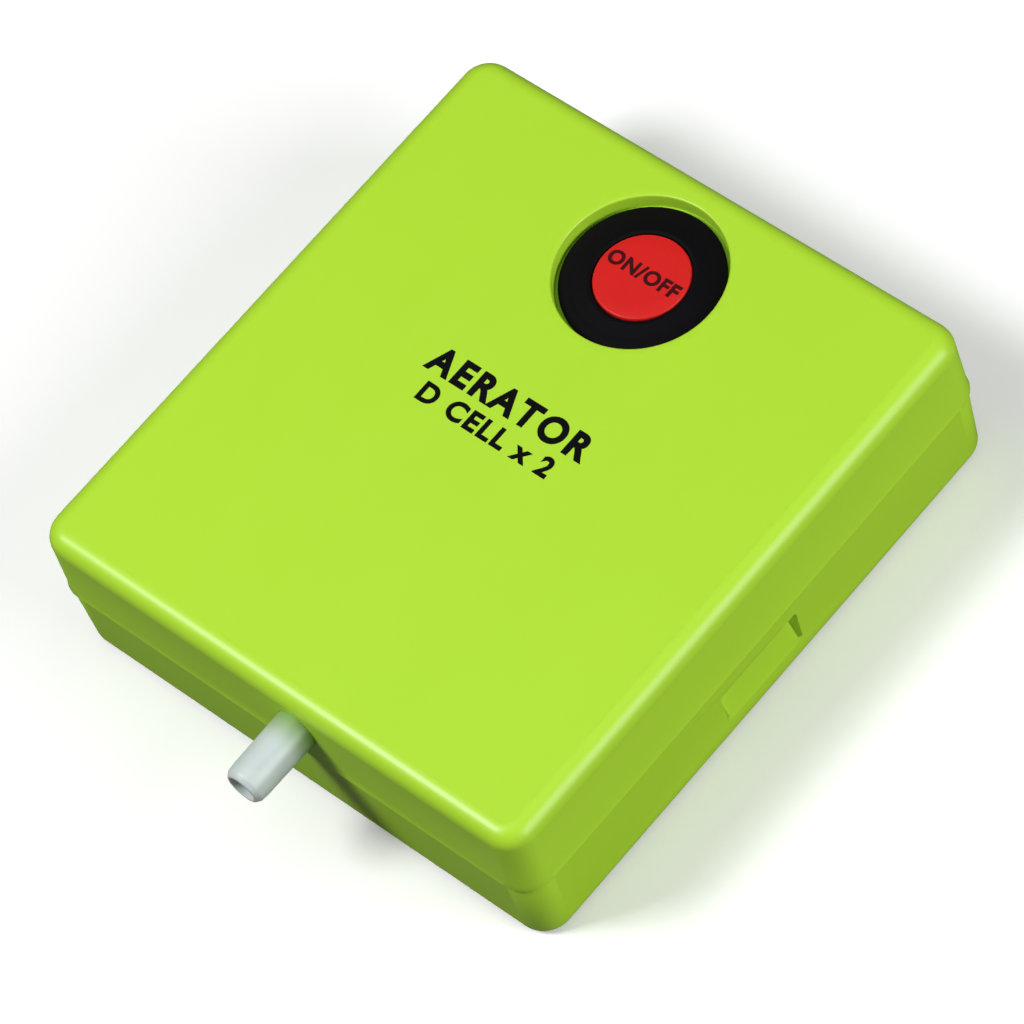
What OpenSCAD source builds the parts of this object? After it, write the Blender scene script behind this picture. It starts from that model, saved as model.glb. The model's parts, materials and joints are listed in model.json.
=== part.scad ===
// Battery air pump in a flat two-part case: a diaphragm pump driven by a small
// motor, two D cells in a row, a push button on top and an airline nozzle in front.
// +X runs along the front, +Y to the back, +Z up; the origin is the centre of the underside.

/* [Case] */
// Width of the top of the case
case_w = 128; // [126:1:180]
// Depth of the top of the case
case_d = 139.4; // [138:0.2:190]
// Height of the closed case
case_h = 39.5; // [39.5:0.5:60]
// Height of the parting line
parting_z = 20.1; // [19:0.1:24.5]
// Wall thickness of both shells
wall = 2; // [1.6:0.1:2]
// Radius of the case's corners in plan
corner_r = 6.3; // [5:0.1:9]
// Radius of the top edge
top_edge_r = 3.9; // [2.5:0.1:4.7]
// Radius of the bottom edge
bottom_edge_r = 2.5; // [1.5:0.1:4]
// How far the upper shell's walls flare out on each side by the parting line
flare = 0.35; // [0:0.05:0.8]
// How far the lip of the upper shell stands out of its walls
lip_out = 0.3; // [0.1:0.05:0.5]
// Height of the lip of the upper shell
lip_h = 1.5; // [1:0.1:3]
// How far the cover stands back from the lip
cover_step = 0.5; // [0.3:0.1:0.8]
// How far the cover draws in on each side by its underside
cover_draft = 0.4; // [0:0.1:1]
// Height of the cover's tongue inside the upper shell
tongue_h = 3; // [2:0.5:4]
// Thickness of the cover's tongue
tongue_t = 1.2; // [1:0.1:1.5]

/* [Finger scoops] */
// Length of a finger scoop in the cover's side
scoop_l = 23.4; // [16:0.2:32]
// Height of a finger scoop
scoop_h = 10.4; // [7:0.2:12]
// Depth of a finger scoop at its upper edge
scoop_depth = 2.6; // [1.5:0.1:3]
// Height of a finger scoop's upper edge
scoop_top_z = 15.4; // [13:0.2:16.6]
// Distance of the scoops in front of the case's middle
scoop_forward = 1.5; // [0:0.5:6]

/* [Button] */
// Diameter of the recess round the button
recess_d = 36.4; // [35.4:0.2:40]
// Depth of the recess
recess_depth = 3.9; // [3.4:0.1:5]
// Outer diameter of the rubber ring
ring_d = 34.7; // [30:0.1:35]
// Thickness of the rubber ring at its outer edge
ring_edge_t = 1.4; // [1:0.1:1.8]
// Thickness of the rubber ring beside the cap
ring_inner_t = 1.9; // [1.4:0.1:2.2]
// Diameter of the button cap
cap_d = 20.3; // [16:0.1:22]
// Travel of the button
press_travel = 1.8; // [1.2:0.1:1.8]
// Distance of the button behind the case's middle
button_y = 45.2; // [44:0.2:46]

/* [Nozzle] */
// Outer diameter of the nozzle
nozzle_d = 9.4; // [8.6:0.1:11]
// Bore for the airline tube
nozzle_bore_d = 6; // [5:0.1:6.5]
// Depth of the bore for the airline tube
nozzle_bore_l = 14; // [10:0.5:15]
// How far the nozzle stands out of the front wall
nozzle_reach = 16.6; // [15.5:0.1:20]
// Distance of the nozzle to the right of the middle
nozzle_x = 5.5; // [0:0.5:12]
// Height of the nozzle's axis
nozzle_z = 29.5; // [28.4:0.1:29.8]

/* [Cells] */
// Diameter of a D cell
cell_d = 33.4; // [32.2:0.1:33.6]
// Length of a D cell with its cap
cell_l = 61.5; // [59.5:0.1:61.5]
// Diameter of the cell's positive cap
cell_cap_d = 9.5; // [7.8:0.1:9.5]
// Height of the cell's positive cap
cell_cap_h = 1.5; // [1.5:0.1:2]
// Length of the compressed contact spring
contact_spring_l = 5.7; // [4.5:0.1:5.7]

/* [Pump] */
// Diameter of the motor can
motor_d = 24; // [20:0.5:24]
// Height of the motor across its flats
motor_flat_h = 20; // [15.5:0.5:20]
// Length of the motor can
motor_l = 28; // [25:0.5:30]
// Diameter of the motor shaft
shaft_d = 2; // [1.5:0.1:2.3]
// Offset of the crank pin from the shaft
crank_throw = 1; // [0.6:0.1:1.2]
// Diameter of the crank pin
crank_pin_d = 6; // [5:0.5:7]
// Size of the square pump head
head_w = 24; // [23:0.5:29]
// Diameter of the diaphragm
diaphragm_d = 21; // [17:0.5:21]
// Outer diameter of the inner hose
hose_d = 7; // [6.4:0.1:7.5]
// Bore of the inner hose
hose_bore_d = 4.2; // [3.6:0.1:4.6]
// Diameter of the insulated wires
wire_d = 1.6; // [1.2:0.1:1.8]

/* [Hidden] */
$fn = 64;
eps = 0.01;
hull_fn = 32;

// Clearances
joint_gap = 0.1;     // between the cover's rim and the upper shell
tongue_gap = 0.3;    // between the tongue and the upper shell
nib = 0.2;           // how far a snap nib stands out of the tongue
slide_gap = 0.3;     // between the cap and the ring
run_gap = 0.05;      // radial, for shafts and pins that turn
screw_gap = 0.05;    // radial, for screws in their pilots
part_gap = 0.6;      // between inner parts and the case
flange_gap = 0.3;    // between the nozzle's flange and the cover's tongue

// Case
half_w = case_w / 2;
half_d = case_d / 2;
wall_half_w = half_w + flare;
wall_half_d = half_d + flare;
shell_half_w = wall_half_w + lip_out;
shell_half_d = wall_half_d + lip_out;
cover_half_w = shell_half_w - cover_step;
cover_half_d = shell_half_d - cover_step;
ceiling_z = case_h - wall;
floor_z = wall;
tongue_top_z = parting_z + tongue_h;
tongue_root_h = 4;
tongue_half_w = wall_half_w - wall - tongue_gap;
tongue_half_d = wall_half_d - wall - tongue_gap;
bay_half_w = tongue_half_w - tongue_t - part_gap;
vent_l = 11;
vent_w = 1.6;
vent_pitch = 4;
vent_count = 5;

// Button and switch
recess_floor_z = case_h - recess_depth;
cup_floor_t = 2;
cup_wall = 2;
cup_bottom_z = recess_floor_z - cup_floor_t;
cap_r = cap_d / 2;
cap_flange_r = cap_r + 1.6;
cup_hole_r = cap_flange_r + 0.7;
cap_flange_t = 1;
cap_flange_top_z = recess_floor_z - 0.2;
cap_top_z = recess_floor_z + ring_inner_t + 0.3;
stem_r = 2.5;
stem_top_z = cap_flange_top_z - cap_flange_t;
spring_l = 9.9;
spring_r = 4.1;
spring_wire_r = 0.4;
spring_turns = 5;
switch_top_z = stem_top_z - spring_l;
switch_h = 13;
switch_w = 17;
switch_t = 14;
switch_ear_t = 2;
switch_ear_x = recess_d / 2 - 2.2;
switch_ear_r = 3.2;
stem_depth = 3;
stem_bottom_z = switch_top_z - stem_depth;
switch_bore_depth = stem_depth + press_travel + 2.2;
switch_terminal_x = 4;
switch_terminal_l = 4;

// Nozzle
front_y = -half_d - 0.15;
nozzle_tip_y = front_y - nozzle_reach;
nozzle_flange_r = nozzle_d / 2 + 1.3;
nozzle_flange_t = 1.6;
nozzle_inner_y = -wall_half_d + wall + 0.4;
nozzle_spigot_l = 7;
nozzle_spigot_y = nozzle_inner_y + nozzle_flange_t + nozzle_spigot_l;

// Cells lie in a row along the left wall
cell_r = cell_d / 2;
sleeve_t = 0.4;
cell_x = -(bay_half_w - cell_r - 2.2);
cell_z = floor_z + 0.9 + cell_r;
row_l = 2 * cell_l + contact_spring_l;
row_front_y = -row_l / 2;
front_cell_y = row_front_y + contact_spring_l;
rear_cell_y = front_cell_y + cell_l;
contact_t = 0.5;
tab_z = cell_z + 8;
tab_h = 4.5;
end_wall_t = 1.4;
divider_t = 1.6;
divider_x = cell_x + cell_r + 0.9;

// Chassis plate and its posts
plate_bottom_z = floor_z + 0.8;
plate_t = 1.4;
scoop_back_t = 2;
scoop_back_h = 1.5;
plate_right_x = cover_half_w - scoop_depth - scoop_back_t - part_gap;
pilot_r = 1.1;
post_r = 3;
screw_head_r = 2.3;
screw_head_t = 1.5;
chassis_posts = [for (x = [divider_x + divider_t + post_r + 4, bay_half_w - post_r - 0.6],
                      y = [-1, 1] * (row_l / 2 - 3.4)) [x, y]];

// Pump, below the frame plate
motor_x = 8;
under_gap = 0.8;
motor_front_y = -8;
motor_r = motor_d / 2;
motor_back_y = motor_front_y + motor_l;
sleeve_wall = 1.2;
strap_t = 0.8;
motor_z = plate_bottom_z + plate_t + under_gap
          + max(head_w / 2, motor_flat_h / 2 + sleeve_wall + strap_t);
sleeve_l = 10;
sleeve_y = motor_front_y + 6;
shaft_r = shaft_d / 2;
end_cap_t = 2.5;
boss_t = 2;
frame_bottom_z = motor_z + motor_flat_h / 2 + sleeve_wall;
frame_t = 2.2;
frame_screw_l = 8;
pump_y = -18;
head_half = head_w / 2;
head_wall_x = 33;
head_wall_t = 3.5;
diaphragm_x = head_wall_x + head_wall_t;
diaphragm_t = 1.5;
diaphragm_r = diaphragm_d / 2;
valve_x = diaphragm_x + diaphragm_t;
chamber_depth = 2.5;
valve_t = 5;
head_x = valve_x + valve_t;
head_t = 8;
port_r = 1.5;
port_offset = 5;
flap_r = 2.8;
flap_t = 0.5;
head_screw_offset = head_half - 2.4;
barb_z = motor_z + port_offset;
barb_x = head_x + 3.2;
barb_r = hose_bore_d / 2;
barb_l = 8;
barb_end_y = pump_y - head_half - barb_l;
filter_r = 5;
filter_t = 2;
crank_r = 7;
crank_t = 3;
rod_w = 4;
rod_y = pump_y - rod_w / 2;
crank_y = rod_y + rod_w + 0.6;
pin_end_y = rod_y - 0.6;
pin_r = crank_pin_d / 2;
bush_t = 1;
bush_r = pin_r + run_gap + bush_t;
rod_ring_t = 1.8;
boss_l = 5;
boss_r = 4;
rod_tip_x = head_wall_x + head_wall_t - boss_l - 0.4;
strap_w = 8;
strap_y = sleeve_y + (sleeve_l - strap_w) / 2;
strap_foot = 6;
strap_half = motor_r + sleeve_wall + 0.1;
frame_posts = [[motor_x - 18, pump_y - 8], [head_wall_x - 4, pump_y - 8],
               [motor_x - 18, motor_front_y + 20.5], [head_wall_x - 4, motor_front_y + 20.5]];
frame_edge = 4;
terminal_x = 7;

// Routes of the hose and of the wires, each from its start to its end
hose_route = [[barb_x, barb_end_y + barb_l - 1, barb_z], [barb_x, barb_end_y - 1, barb_z],
              [barb_x - 2, barb_end_y - 7, barb_z + 1], [barb_x - 10, barb_end_y - 12.5, barb_z + 3.5],
              [barb_x - 20, barb_end_y - 12, barb_z + 6], [nozzle_x + 8, nozzle_spigot_y + 11, nozzle_z],
              [nozzle_x + 1.5, nozzle_spigot_y + 8, nozzle_z],
              [nozzle_x, nozzle_spigot_y + 0.5, nozzle_z],
              [nozzle_x, nozzle_spigot_y - nozzle_spigot_l + 1, nozzle_z]];
switch_low_z = switch_top_z - switch_h - switch_terminal_l;
lead_z = plate_bottom_z + plate_t + wire_d / 2 + 0.4;
lead_x = divider_x + divider_t + 2;
red_route = [[lead_x - 1, row_l / 2 - 0.1, tab_z + 2.4], [lead_x - 0.4, row_l / 2 - 2.5, tab_z],
             [lead_x, row_l / 2 - 6, tab_z - 9], [lead_x + 1, row_l / 2 - 9.5, lead_z + 4],
             [lead_x + 6, row_l / 2 - 13, lead_z], [-switch_terminal_x - 4, button_y + 1.5, lead_z + 0.6],
             [-switch_terminal_x, button_y, switch_low_z + 0.6]];
switch_route = [[switch_terminal_x, button_y, switch_low_z + 0.6],
                [switch_terminal_x + 3, button_y - 3, lead_z + 0.6],
                [motor_x + terminal_x - 1, button_y - 9, lead_z + 2],
                [motor_x + terminal_x + 1, motor_back_y + end_cap_t + 7, motor_z - 4],
                [motor_x + terminal_x, motor_back_y + end_cap_t + 3, motor_z]];
black_route = [[lead_x - 1, 0.1 - row_l / 2, tab_z + 2.4], [lead_x - 0.4, 2.5 - row_l / 2, tab_z],
               [lead_x, 7 - row_l / 2, tab_z - 9], [lead_x + 1, 12 - row_l / 2, lead_z + 4],
               [lead_x + 2, 24 - row_l / 2, lead_z], [lead_x + 2, motor_front_y, lead_z],
               [lead_x + 4, motor_back_y - 8, lead_z + 0.6],
               [motor_x - terminal_x - 9, motor_back_y + 6, lead_z + 4],
               [motor_x - terminal_x - 1, motor_back_y + end_cap_t + 7, motor_z - 3],
               [motor_x - terminal_x, motor_back_y + end_cap_t + 3, motor_z]];

// Basic shapes
module post(x, y, r, z0, z1) translate([x, y, z0]) cylinder(r = r, h = z1 - z0);
module bar_x(y, z, r, x0, x1) translate([x0, y, z]) rotate([0, 90, 0]) cylinder(r = r, h = x1 - x0);
module bar_y(x, z, r, y0, y1) translate([x, y0, z]) rotate([-90, 0, 0]) cylinder(r = r, h = y1 - y0);
module slab(x, y, z) translate([x[0], y[0], z[0]]) cube([x[1] - x[0], y[1] - y[0], z[1] - z[0]]);

module four_corners(hw, hd, r)
    for (x = [-1, 1] * (hw - r), y = [-1, 1] * (hd - r)) translate([x, y, 0]) children();

module edge_ring(r, edge)
    rotate_extrude($fn = hull_fn) intersection() {
        translate([r - edge, 0]) circle(r = edge, $fn = hull_fn);
        translate([0, -edge]) square([r, 2 * edge]);
    }

// Closed body with plumb corners, from a plain rim to a rounded edge
module tub(rim, rim_z, base, base_z, r, edge)
    hull() {
        four_corners(rim[0], rim[1], r)
            translate([0, 0, rim_z]) cylinder(r = r, h = eps, center = true, $fn = hull_fn);
        four_corners(base[0], base[1], r)
            translate([0, 0, base_z + (base_z > rim_z ? -edge : edge)]) edge_ring(r, edge);
    }

// Screw with its head below z = 0 and its shank above
module self_screw(l, head_t)
    union() {
        translate([0, 0, -head_t]) cylinder(r = screw_head_r, h = head_t);
        translate([0, 0, -eps]) cylinder(r = pilot_r - screw_gap, h = l);
    }

// A tube swept along smooth points, with its frame carried along without twist
function unit(v) = v / norm(v);
function spline_at(p, i, t) =
    let (a = p[max(i - 1, 0)], b = p[i], c = p[i + 1], d = p[min(i + 2, len(p) - 1)])
    0.5 * (2 * b + (c - a) * t + (2 * a - 5 * b + 4 * c - d) * t * t + (3 * b - a - 3 * c + d) * t * t * t);
function spline(p, steps) =
    concat([for (i = [0 : len(p) - 2], k = [0 : steps - 1]) spline_at(p, i, k / steps)], [p[len(p) - 1]]);
function tangents(p) = [for (i = [0 : len(p) - 1]) unit(p[min(i + 1, len(p) - 1)] - p[max(i - 1, 0)])];
function carried(t, i) =
    i == 0 ? [unit(cross(t[0], abs(t[0][2]) < 0.9 ? [0, 0, 1] : [1, 0, 0]))]
           : let (before = carried(t, i - 1), n = before[i - 1])
             concat(before, [unit(n - (n * t[i]) * t[i])]);
module swept(p, r, sides) {
    t = tangents(p);
    n = carried(t, len(p) - 1);
    rings = [for (i = [0 : len(p) - 1], k = [0 : sides - 1])
             p[i] + r * (cos(360 * k / sides) * n[i] + sin(360 * k / sides) * cross(t[i], n[i]))];
    last = (len(p) - 1) * sides;
    sides_faces = [for (i = [0 : len(p) - 2], k = [0 : sides - 1])
                   let (a = i * sides + k, b = i * sides + (k + 1) % sides) [a, a + sides, b + sides, b]];
    caps = [[for (k = [0 : sides - 1]) k], [for (k = [sides - 1 : -1 : 0]) last + k]];
    polyhedron(rings, concat(sides_faces, caps));
}
function coil(r0, r1, l, turns, per_turn) =
    [for (i = [0 : turns * per_turn])
     let (f = i / (turns * per_turn), r = r0 + (r1 - r0) * f)
     [r * cos(360 * turns * f), r * sin(360 * turns * f), l * f]];

// Band round the upper shell's rim that runs out to its lip
module lip()
    hull() {
        for (step = [[parting_z, lip_out], [parting_z + lip_h, 0]])
            four_corners(wall_half_w + step[1], wall_half_d + step[1], corner_r + step[1])
                translate([0, 0, step[0]]) cylinder(r = corner_r + step[1], h = eps, $fn = hull_fn);
    }

// Case
module upper_shell() color("yellowgreen")
    difference() {
        union() {
            difference() {
                union() {
                    tub([wall_half_w, wall_half_d], parting_z,
                        [half_w, half_d], case_h, corner_r, top_edge_r);
                    lip();
                }
                tub([wall_half_w - wall, wall_half_d - wall], parting_z - eps,
                    [half_w - wall, half_d - wall], ceiling_z, corner_r - wall, top_edge_r - wall);
            }
            post(0, button_y, recess_d / 2 + cup_wall, cup_bottom_z, ceiling_z + eps);
            for (x = [-1, 1] * switch_ear_x)
                post(x, button_y, switch_ear_r, switch_top_z, cup_bottom_z + eps);
            for (p = frame_posts) post(p[0], p[1], post_r, frame_bottom_z + frame_t, ceiling_z + eps);
            for (p = chassis_posts) post(p[0], p[1], post_r, plate_bottom_z + plate_t, ceiling_z + eps);
        }
        post(0, button_y, recess_d / 2, recess_floor_z, case_h + 1);
        post(0, button_y, cup_hole_r, cup_bottom_z - 1, recess_floor_z + 1);
        bar_y(nozzle_x, nozzle_z, nozzle_d / 2 + 0.1, -shell_half_d - 1, -shell_half_d + wall + 2);
        for (x = [-1, 1] * switch_ear_x) post(x, button_y, pilot_r, switch_top_z - 1, cup_bottom_z);
        for (p = frame_posts) post(p[0], p[1], pilot_r, frame_bottom_z, ceiling_z);
        for (p = chassis_posts) post(p[0], p[1], pilot_r, plate_bottom_z, plate_bottom_z + 14);
    }

module scoop(side)
    translate([0, scoop_l / 2 - scoop_forward, 0]) rotate([90, 0, 0])
        linear_extrude(scoop_l)
            polygon([for (p = [[2, scoop_top_z - scoop_h - 2], [-0.2, scoop_top_z - scoop_h],
                               [-scoop_depth, scoop_top_z - scoop_back_h], [-scoop_depth, scoop_top_z],
                               [2, scoop_top_z]])
                     [side * (cover_half_w + p[0]), p[1]]]);

module lower_cover() color("olivedrab")
    difference() {
        union() {
            difference() {
                tub([cover_half_w, cover_half_d], parting_z - joint_gap,
                    [cover_half_w - cover_draft, cover_half_d - cover_draft], 0, corner_r, bottom_edge_r);
                tub([cover_half_w - wall, cover_half_d - wall], parting_z,
                    [cover_half_w - cover_draft - wall, cover_half_d - cover_draft - wall], floor_z,
                    corner_r - wall, max(bottom_edge_r - wall, 0.4));
            }
            tongue();
            for (side = [-1, 1])
                slab(side * cover_half_w * [1, 1] + (side > 0 ? [-scoop_depth - scoop_back_t, -1]
                                                     : [1, scoop_depth + scoop_back_t]),
                     [-1, 1] * (scoop_l / 2 + scoop_back_t) - [1, 1] * scoop_forward,
                     [floor_z - 1, scoop_top_z + scoop_back_t]);
        }
        for (side = [-1, 1]) scoop(side);
        for (i = [0 : vent_count - 1])
            slab([bay_half_w - 22, bay_half_w - 22 + vent_l],
                 [pump_y + (i - (vent_count - 1) / 2) * vent_pitch - vent_w / 2,
                  pump_y + (i - (vent_count - 1) / 2) * vent_pitch + vent_w / 2], [-1, floor_z + 1]);
    }

// Upright rim of the cover, with a snap nib on each side above the scoops
module tongue() {
    outer_r = corner_r - wall - tongue_gap;
    difference() {
        union() {
            rim(tongue_half_w, tongue_half_d, outer_r, parting_z - 1, tongue_top_z);
            rim(cover_half_w - 1, cover_half_d - 1, corner_r - 1,
                parting_z - tongue_root_h, parting_z - joint_gap);
        }
        rim(tongue_half_w - tongue_t, tongue_half_d - tongue_t, outer_r - tongue_t,
            parting_z - tongue_root_h - 1, tongue_top_z + 1);
        bar_y(nozzle_x, nozzle_z, nozzle_flange_r + flange_gap, -shell_half_d, 0);
    }
    for (side = [-1, 1])
        slab(side * tongue_half_w * [1, 1] + (side > 0 ? [-0.5, nib] : [-nib, 0.5]),
             [-8 - scoop_forward, 8 - scoop_forward], [tongue_top_z - 1.6, tongue_top_z - 0.6]);
}

module rim(hw, hd, r, z0, z1)
    translate([0, 0, z0]) linear_extrude(z1 - z0) union() {
        four_corners(hw, hd, r) circle(r = r);
        square([2 * hw, 2 * (hd - r)], center = true);
        square([2 * (hw - r), 2 * hd], center = true);
    }

// Inner moulding: the battery bay's walls and a plate over the pump
module chassis() color("dimgray")
    difference() {
        union() {
            slab([divider_x, plate_right_x], [-1, 1] * (row_l / 2 + end_wall_t),
                 [plate_bottom_z, plate_bottom_z + plate_t]);
            slab([divider_x, divider_x + divider_t], [-1, 1] * (row_l / 2 + end_wall_t),
                 [plate_bottom_z, ceiling_z - 0.4]);
            for (y = [[-row_l / 2 - contact_t - end_wall_t, -row_l / 2 - contact_t],
                      [row_l / 2 + contact_t, row_l / 2 + contact_t + end_wall_t]])
                slab([cell_x - cell_r + 2, divider_x + divider_t], y, [plate_bottom_z, ceiling_z - 0.4]);
        }
        for (p = chassis_posts) post(p[0], p[1], pilot_r + 0.2, 0, 10);
        for (y = [-row_l / 2 - contact_t, row_l / 2])
            slab([divider_x - 1, divider_x + divider_t + 1], [y, y + contact_t],
                 [tab_z - 0.3, tab_z + tab_h + 0.3]);
    }

module chassis_screws() color("silver")
    for (p = chassis_posts) translate([p[0], p[1], plate_bottom_z]) self_screw(10, 0.6);

// Button
module button_ring() color("#18161a")
    translate([0, button_y, 0]) rotate_extrude()
        polygon([[cap_r + slide_gap, recess_floor_z], [ring_d / 2, recess_floor_z],
                 [ring_d / 2, recess_floor_z + ring_edge_t - 0.4],
                 [ring_d / 2 - 0.4, recess_floor_z + ring_edge_t],
                 [cap_r + slide_gap, recess_floor_z + ring_inner_t]]);

module button_cap() color("crimson")
    translate([0, button_y, 0]) rotate_extrude()
        polygon([[0, stem_top_z], [cap_flange_r, stem_top_z], [cap_flange_r, cap_flange_top_z],
                 [cap_r, cap_flange_top_z], [cap_r, cap_top_z - 0.5], [cap_r - 0.5, cap_top_z],
                 [0, cap_top_z]]);

module button_stem() color("dimgray")
    post(0, button_y, stem_r, stem_bottom_z, stem_top_z);

module return_spring() color("silver")
    translate([0, button_y, switch_top_z + spring_wire_r])
        swept(coil(spring_r, spring_r, spring_l - 2 * spring_wire_r, spring_turns, 14), spring_wire_r, 6);

module switch_body() color("#303030")
    difference() {
        union() {
            slab([-1, 1] * switch_w / 2, [button_y - switch_t / 2, button_y + switch_t / 2],
                 [switch_top_z - switch_h, switch_top_z]);
            slab([-1, 1] * switch_ear_x, [button_y - switch_ear_r, button_y + switch_ear_r],
                 [switch_top_z - switch_ear_t, switch_top_z]);
            for (x = [-1, 1] * switch_ear_x)
                post(x, button_y, switch_ear_r, switch_top_z - switch_ear_t, switch_top_z);
        }
        post(0, button_y, stem_r + run_gap + 0.05, switch_top_z - switch_bore_depth, switch_top_z + 1);
        for (x = [-1, 1] * switch_ear_x)
            post(x, button_y, pilot_r + 0.2, switch_top_z - switch_ear_t - 1, switch_top_z + 1);
    }

module switch_terminals() color("gold")
    for (x = [-1, 1] * switch_terminal_x)
        slab([x - 1.5, x + 1.5], [button_y - 0.3, button_y + 0.3],
             [switch_low_z, switch_top_z - switch_h]);

module switch_screws() color("silver")
    for (x = [-1, 1] * switch_ear_x)
        translate([x, button_y, switch_top_z - switch_ear_t]) self_screw(8, screw_head_t);

// Outlet
module outlet_nozzle() color("#c8d4d4")
    difference() {
        union() {
            bar_y(nozzle_x, nozzle_z, nozzle_d / 2, nozzle_tip_y + 1, nozzle_inner_y);
            bar_y(nozzle_x, nozzle_z, nozzle_d / 2 - 1, nozzle_tip_y, nozzle_inner_y);
            translate([nozzle_x, nozzle_tip_y + 1, nozzle_z]) rotate([-90, 0, 0])
                rotate_extrude() translate([nozzle_d / 2 - 1, 0]) circle(r = 1);
            bar_y(nozzle_x, nozzle_z, nozzle_flange_r, nozzle_inner_y, nozzle_inner_y + nozzle_flange_t);
            bar_y(nozzle_x, nozzle_z, hose_bore_d / 2, nozzle_inner_y, nozzle_spigot_y);
        }
        bar_y(nozzle_x, nozzle_z, nozzle_bore_d / 2, nozzle_tip_y - 1, nozzle_tip_y + nozzle_bore_l);
        bar_y(nozzle_x, nozzle_z, hose_bore_d / 2 - 0.9, nozzle_tip_y, nozzle_spigot_y + 1);
    }

module outlet_hose() color("#d8d8d0")
    difference() {
        swept(spline(hose_route, 5), hose_d / 2, 12);
        swept(spline(concat([hose_route[0] + [0, 0.5, 0]], hose_route,
                            [hose_route[len(hose_route) - 1] - [0, 0.5, 0]]), 5), hose_bore_d / 2, 12);
    }

// Pump
module pump_frame() color("#3c4146")
    difference() {
        union() {
            slab([frame_posts[0][0] - frame_edge, head_wall_x + head_wall_t],
                 [pump_y - head_half, frame_posts[2][1] + frame_edge],
                 [frame_bottom_z, frame_bottom_z + frame_t]);
            slab([head_wall_x, head_wall_x + head_wall_t], [pump_y - head_half, pump_y + head_half],
                 [motor_z - head_half, frame_bottom_z + eps]);
        }
        bar_x(pump_y, motor_z, diaphragm_r - 2, head_wall_x - 1, head_wall_x + head_wall_t + 1);
        for (y = [-1, 1] * head_screw_offset, z = [-1, 1] * head_screw_offset)
            bar_x(pump_y + y, motor_z + z, pilot_r, head_wall_x - 1, head_wall_x + head_wall_t + 1);
        for (p = frame_posts)
            post(p[0], p[1], pilot_r + 0.2, frame_bottom_z - 1, frame_bottom_z + frame_t + 1);
        for (x = [-1, 1] * (strap_half + strap_foot / 2 + strap_t))
            post(motor_x + x, strap_y + strap_w / 2, pilot_r,
                 frame_bottom_z - 1, frame_bottom_z + frame_t + 1);
    }

module frame_screws() color("silver")
    for (p = frame_posts)
        translate([p[0], p[1], frame_bottom_z])
            self_screw(min(frame_screw_l, ceiling_z - frame_bottom_z - 1), screw_head_t);

module diaphragm() color("#26262a")
    translate([diaphragm_x, pump_y, motor_z]) rotate([0, 90, 0]) rotate_extrude()
        polygon([[0, -boss_l], [boss_r, -boss_l], [boss_r, 0], [diaphragm_r, 0], [diaphragm_r, diaphragm_t],
                 [boss_r, diaphragm_t], [boss_r - 1, diaphragm_t + 0.8], [0, diaphragm_t + 0.8]]);

module head_block(x0, t)
    slab([x0, x0 + t], [pump_y - head_half, pump_y + head_half], [motor_z - head_half, motor_z + head_half]);

module head_screw_holes(r, x0, x1)
    for (y = [-1, 1] * head_screw_offset, z = [-1, 1] * head_screw_offset)
        bar_x(pump_y + y, motor_z + z, r, x0, x1);

module valve_plate() color("#b8bcc0")
    difference() {
        head_block(valve_x, valve_t);
        bar_x(pump_y, motor_z, diaphragm_r - 1, valve_x - 1, valve_x + chamber_depth);
        for (z = [-1, 1] * port_offset) bar_x(pump_y, motor_z + z, port_r, valve_x, head_x + 1);
        head_screw_holes(pilot_r + 0.2, valve_x - 1, head_x + 1);
    }

module inlet_flap() color("#202024")
    bar_x(pump_y, motor_z - port_offset, flap_r, valve_x + chamber_depth - flap_t, valve_x + chamber_depth);

module outlet_flap() color("#202024")
    bar_x(pump_y, motor_z + port_offset, flap_r, head_x, head_x + flap_t);

module pump_head() color("#3c4146")
    difference() {
        union() {
            head_block(head_x, head_t);
            bar_y(barb_x, barb_z, barb_r, barb_end_y, pump_y - head_half + eps);
            bar_x(pump_y, motor_z - port_offset, filter_r + 1.2,
                  head_x + head_t - eps, head_x + head_t + filter_t);
        }
        for (z = [-1, 1] * port_offset)
            bar_x(pump_y, motor_z + z, flap_r + 0.7, head_x - 1, head_x + head_t - 2);
        bar_x(pump_y, motor_z - port_offset, port_r, head_x, head_x + head_t + 1);
        bar_x(pump_y, motor_z - port_offset, filter_r, head_x + head_t, head_x + head_t + filter_t + 1);
        bar_y(barb_x, barb_z, barb_r - 0.9, barb_end_y - 1, pump_y);
        head_screw_holes(pilot_r + 0.2, head_x - 1, head_x + head_t + filter_t + 1);
        head_screw_holes(screw_head_r + 0.3, head_x + head_t, head_x + head_t + filter_t + 1);
    }

module head_screws() color("silver")
    for (y = [-1, 1] * head_screw_offset, z = [-1, 1] * head_screw_offset)
        translate([head_x + head_t, pump_y + y, motor_z + z]) rotate([0, -90, 0])
            self_screw(head_x + head_t - head_wall_x, screw_head_t);

module inlet_filter() color("whitesmoke")
    bar_x(pump_y, motor_z - port_offset, filter_r - 0.05, head_x + head_t, head_x + head_t + filter_t);

// Motor
module flat_sided(r, flat_h, y0, y1)
    intersection() {
        bar_y(motor_x, motor_z, r, y0, y1);
        slab([motor_x - r, motor_x + r], [y0, y1], [motor_z - flat_h / 2, motor_z + flat_h / 2]);
    }

module motor_can() color("silver")
    difference() {
        union() {
            flat_sided(motor_r, motor_flat_h, motor_front_y, motor_back_y);
            bar_y(motor_x, motor_z, 3.5, motor_front_y - boss_t, motor_front_y + eps);
        }
        flat_sided(motor_r - 0.9, motor_flat_h - 1.8, motor_front_y + 1.2, motor_back_y + 1);
        bar_y(motor_x, motor_z, shaft_r + run_gap, motor_front_y - boss_t - 1, motor_front_y + 2);
    }

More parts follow.
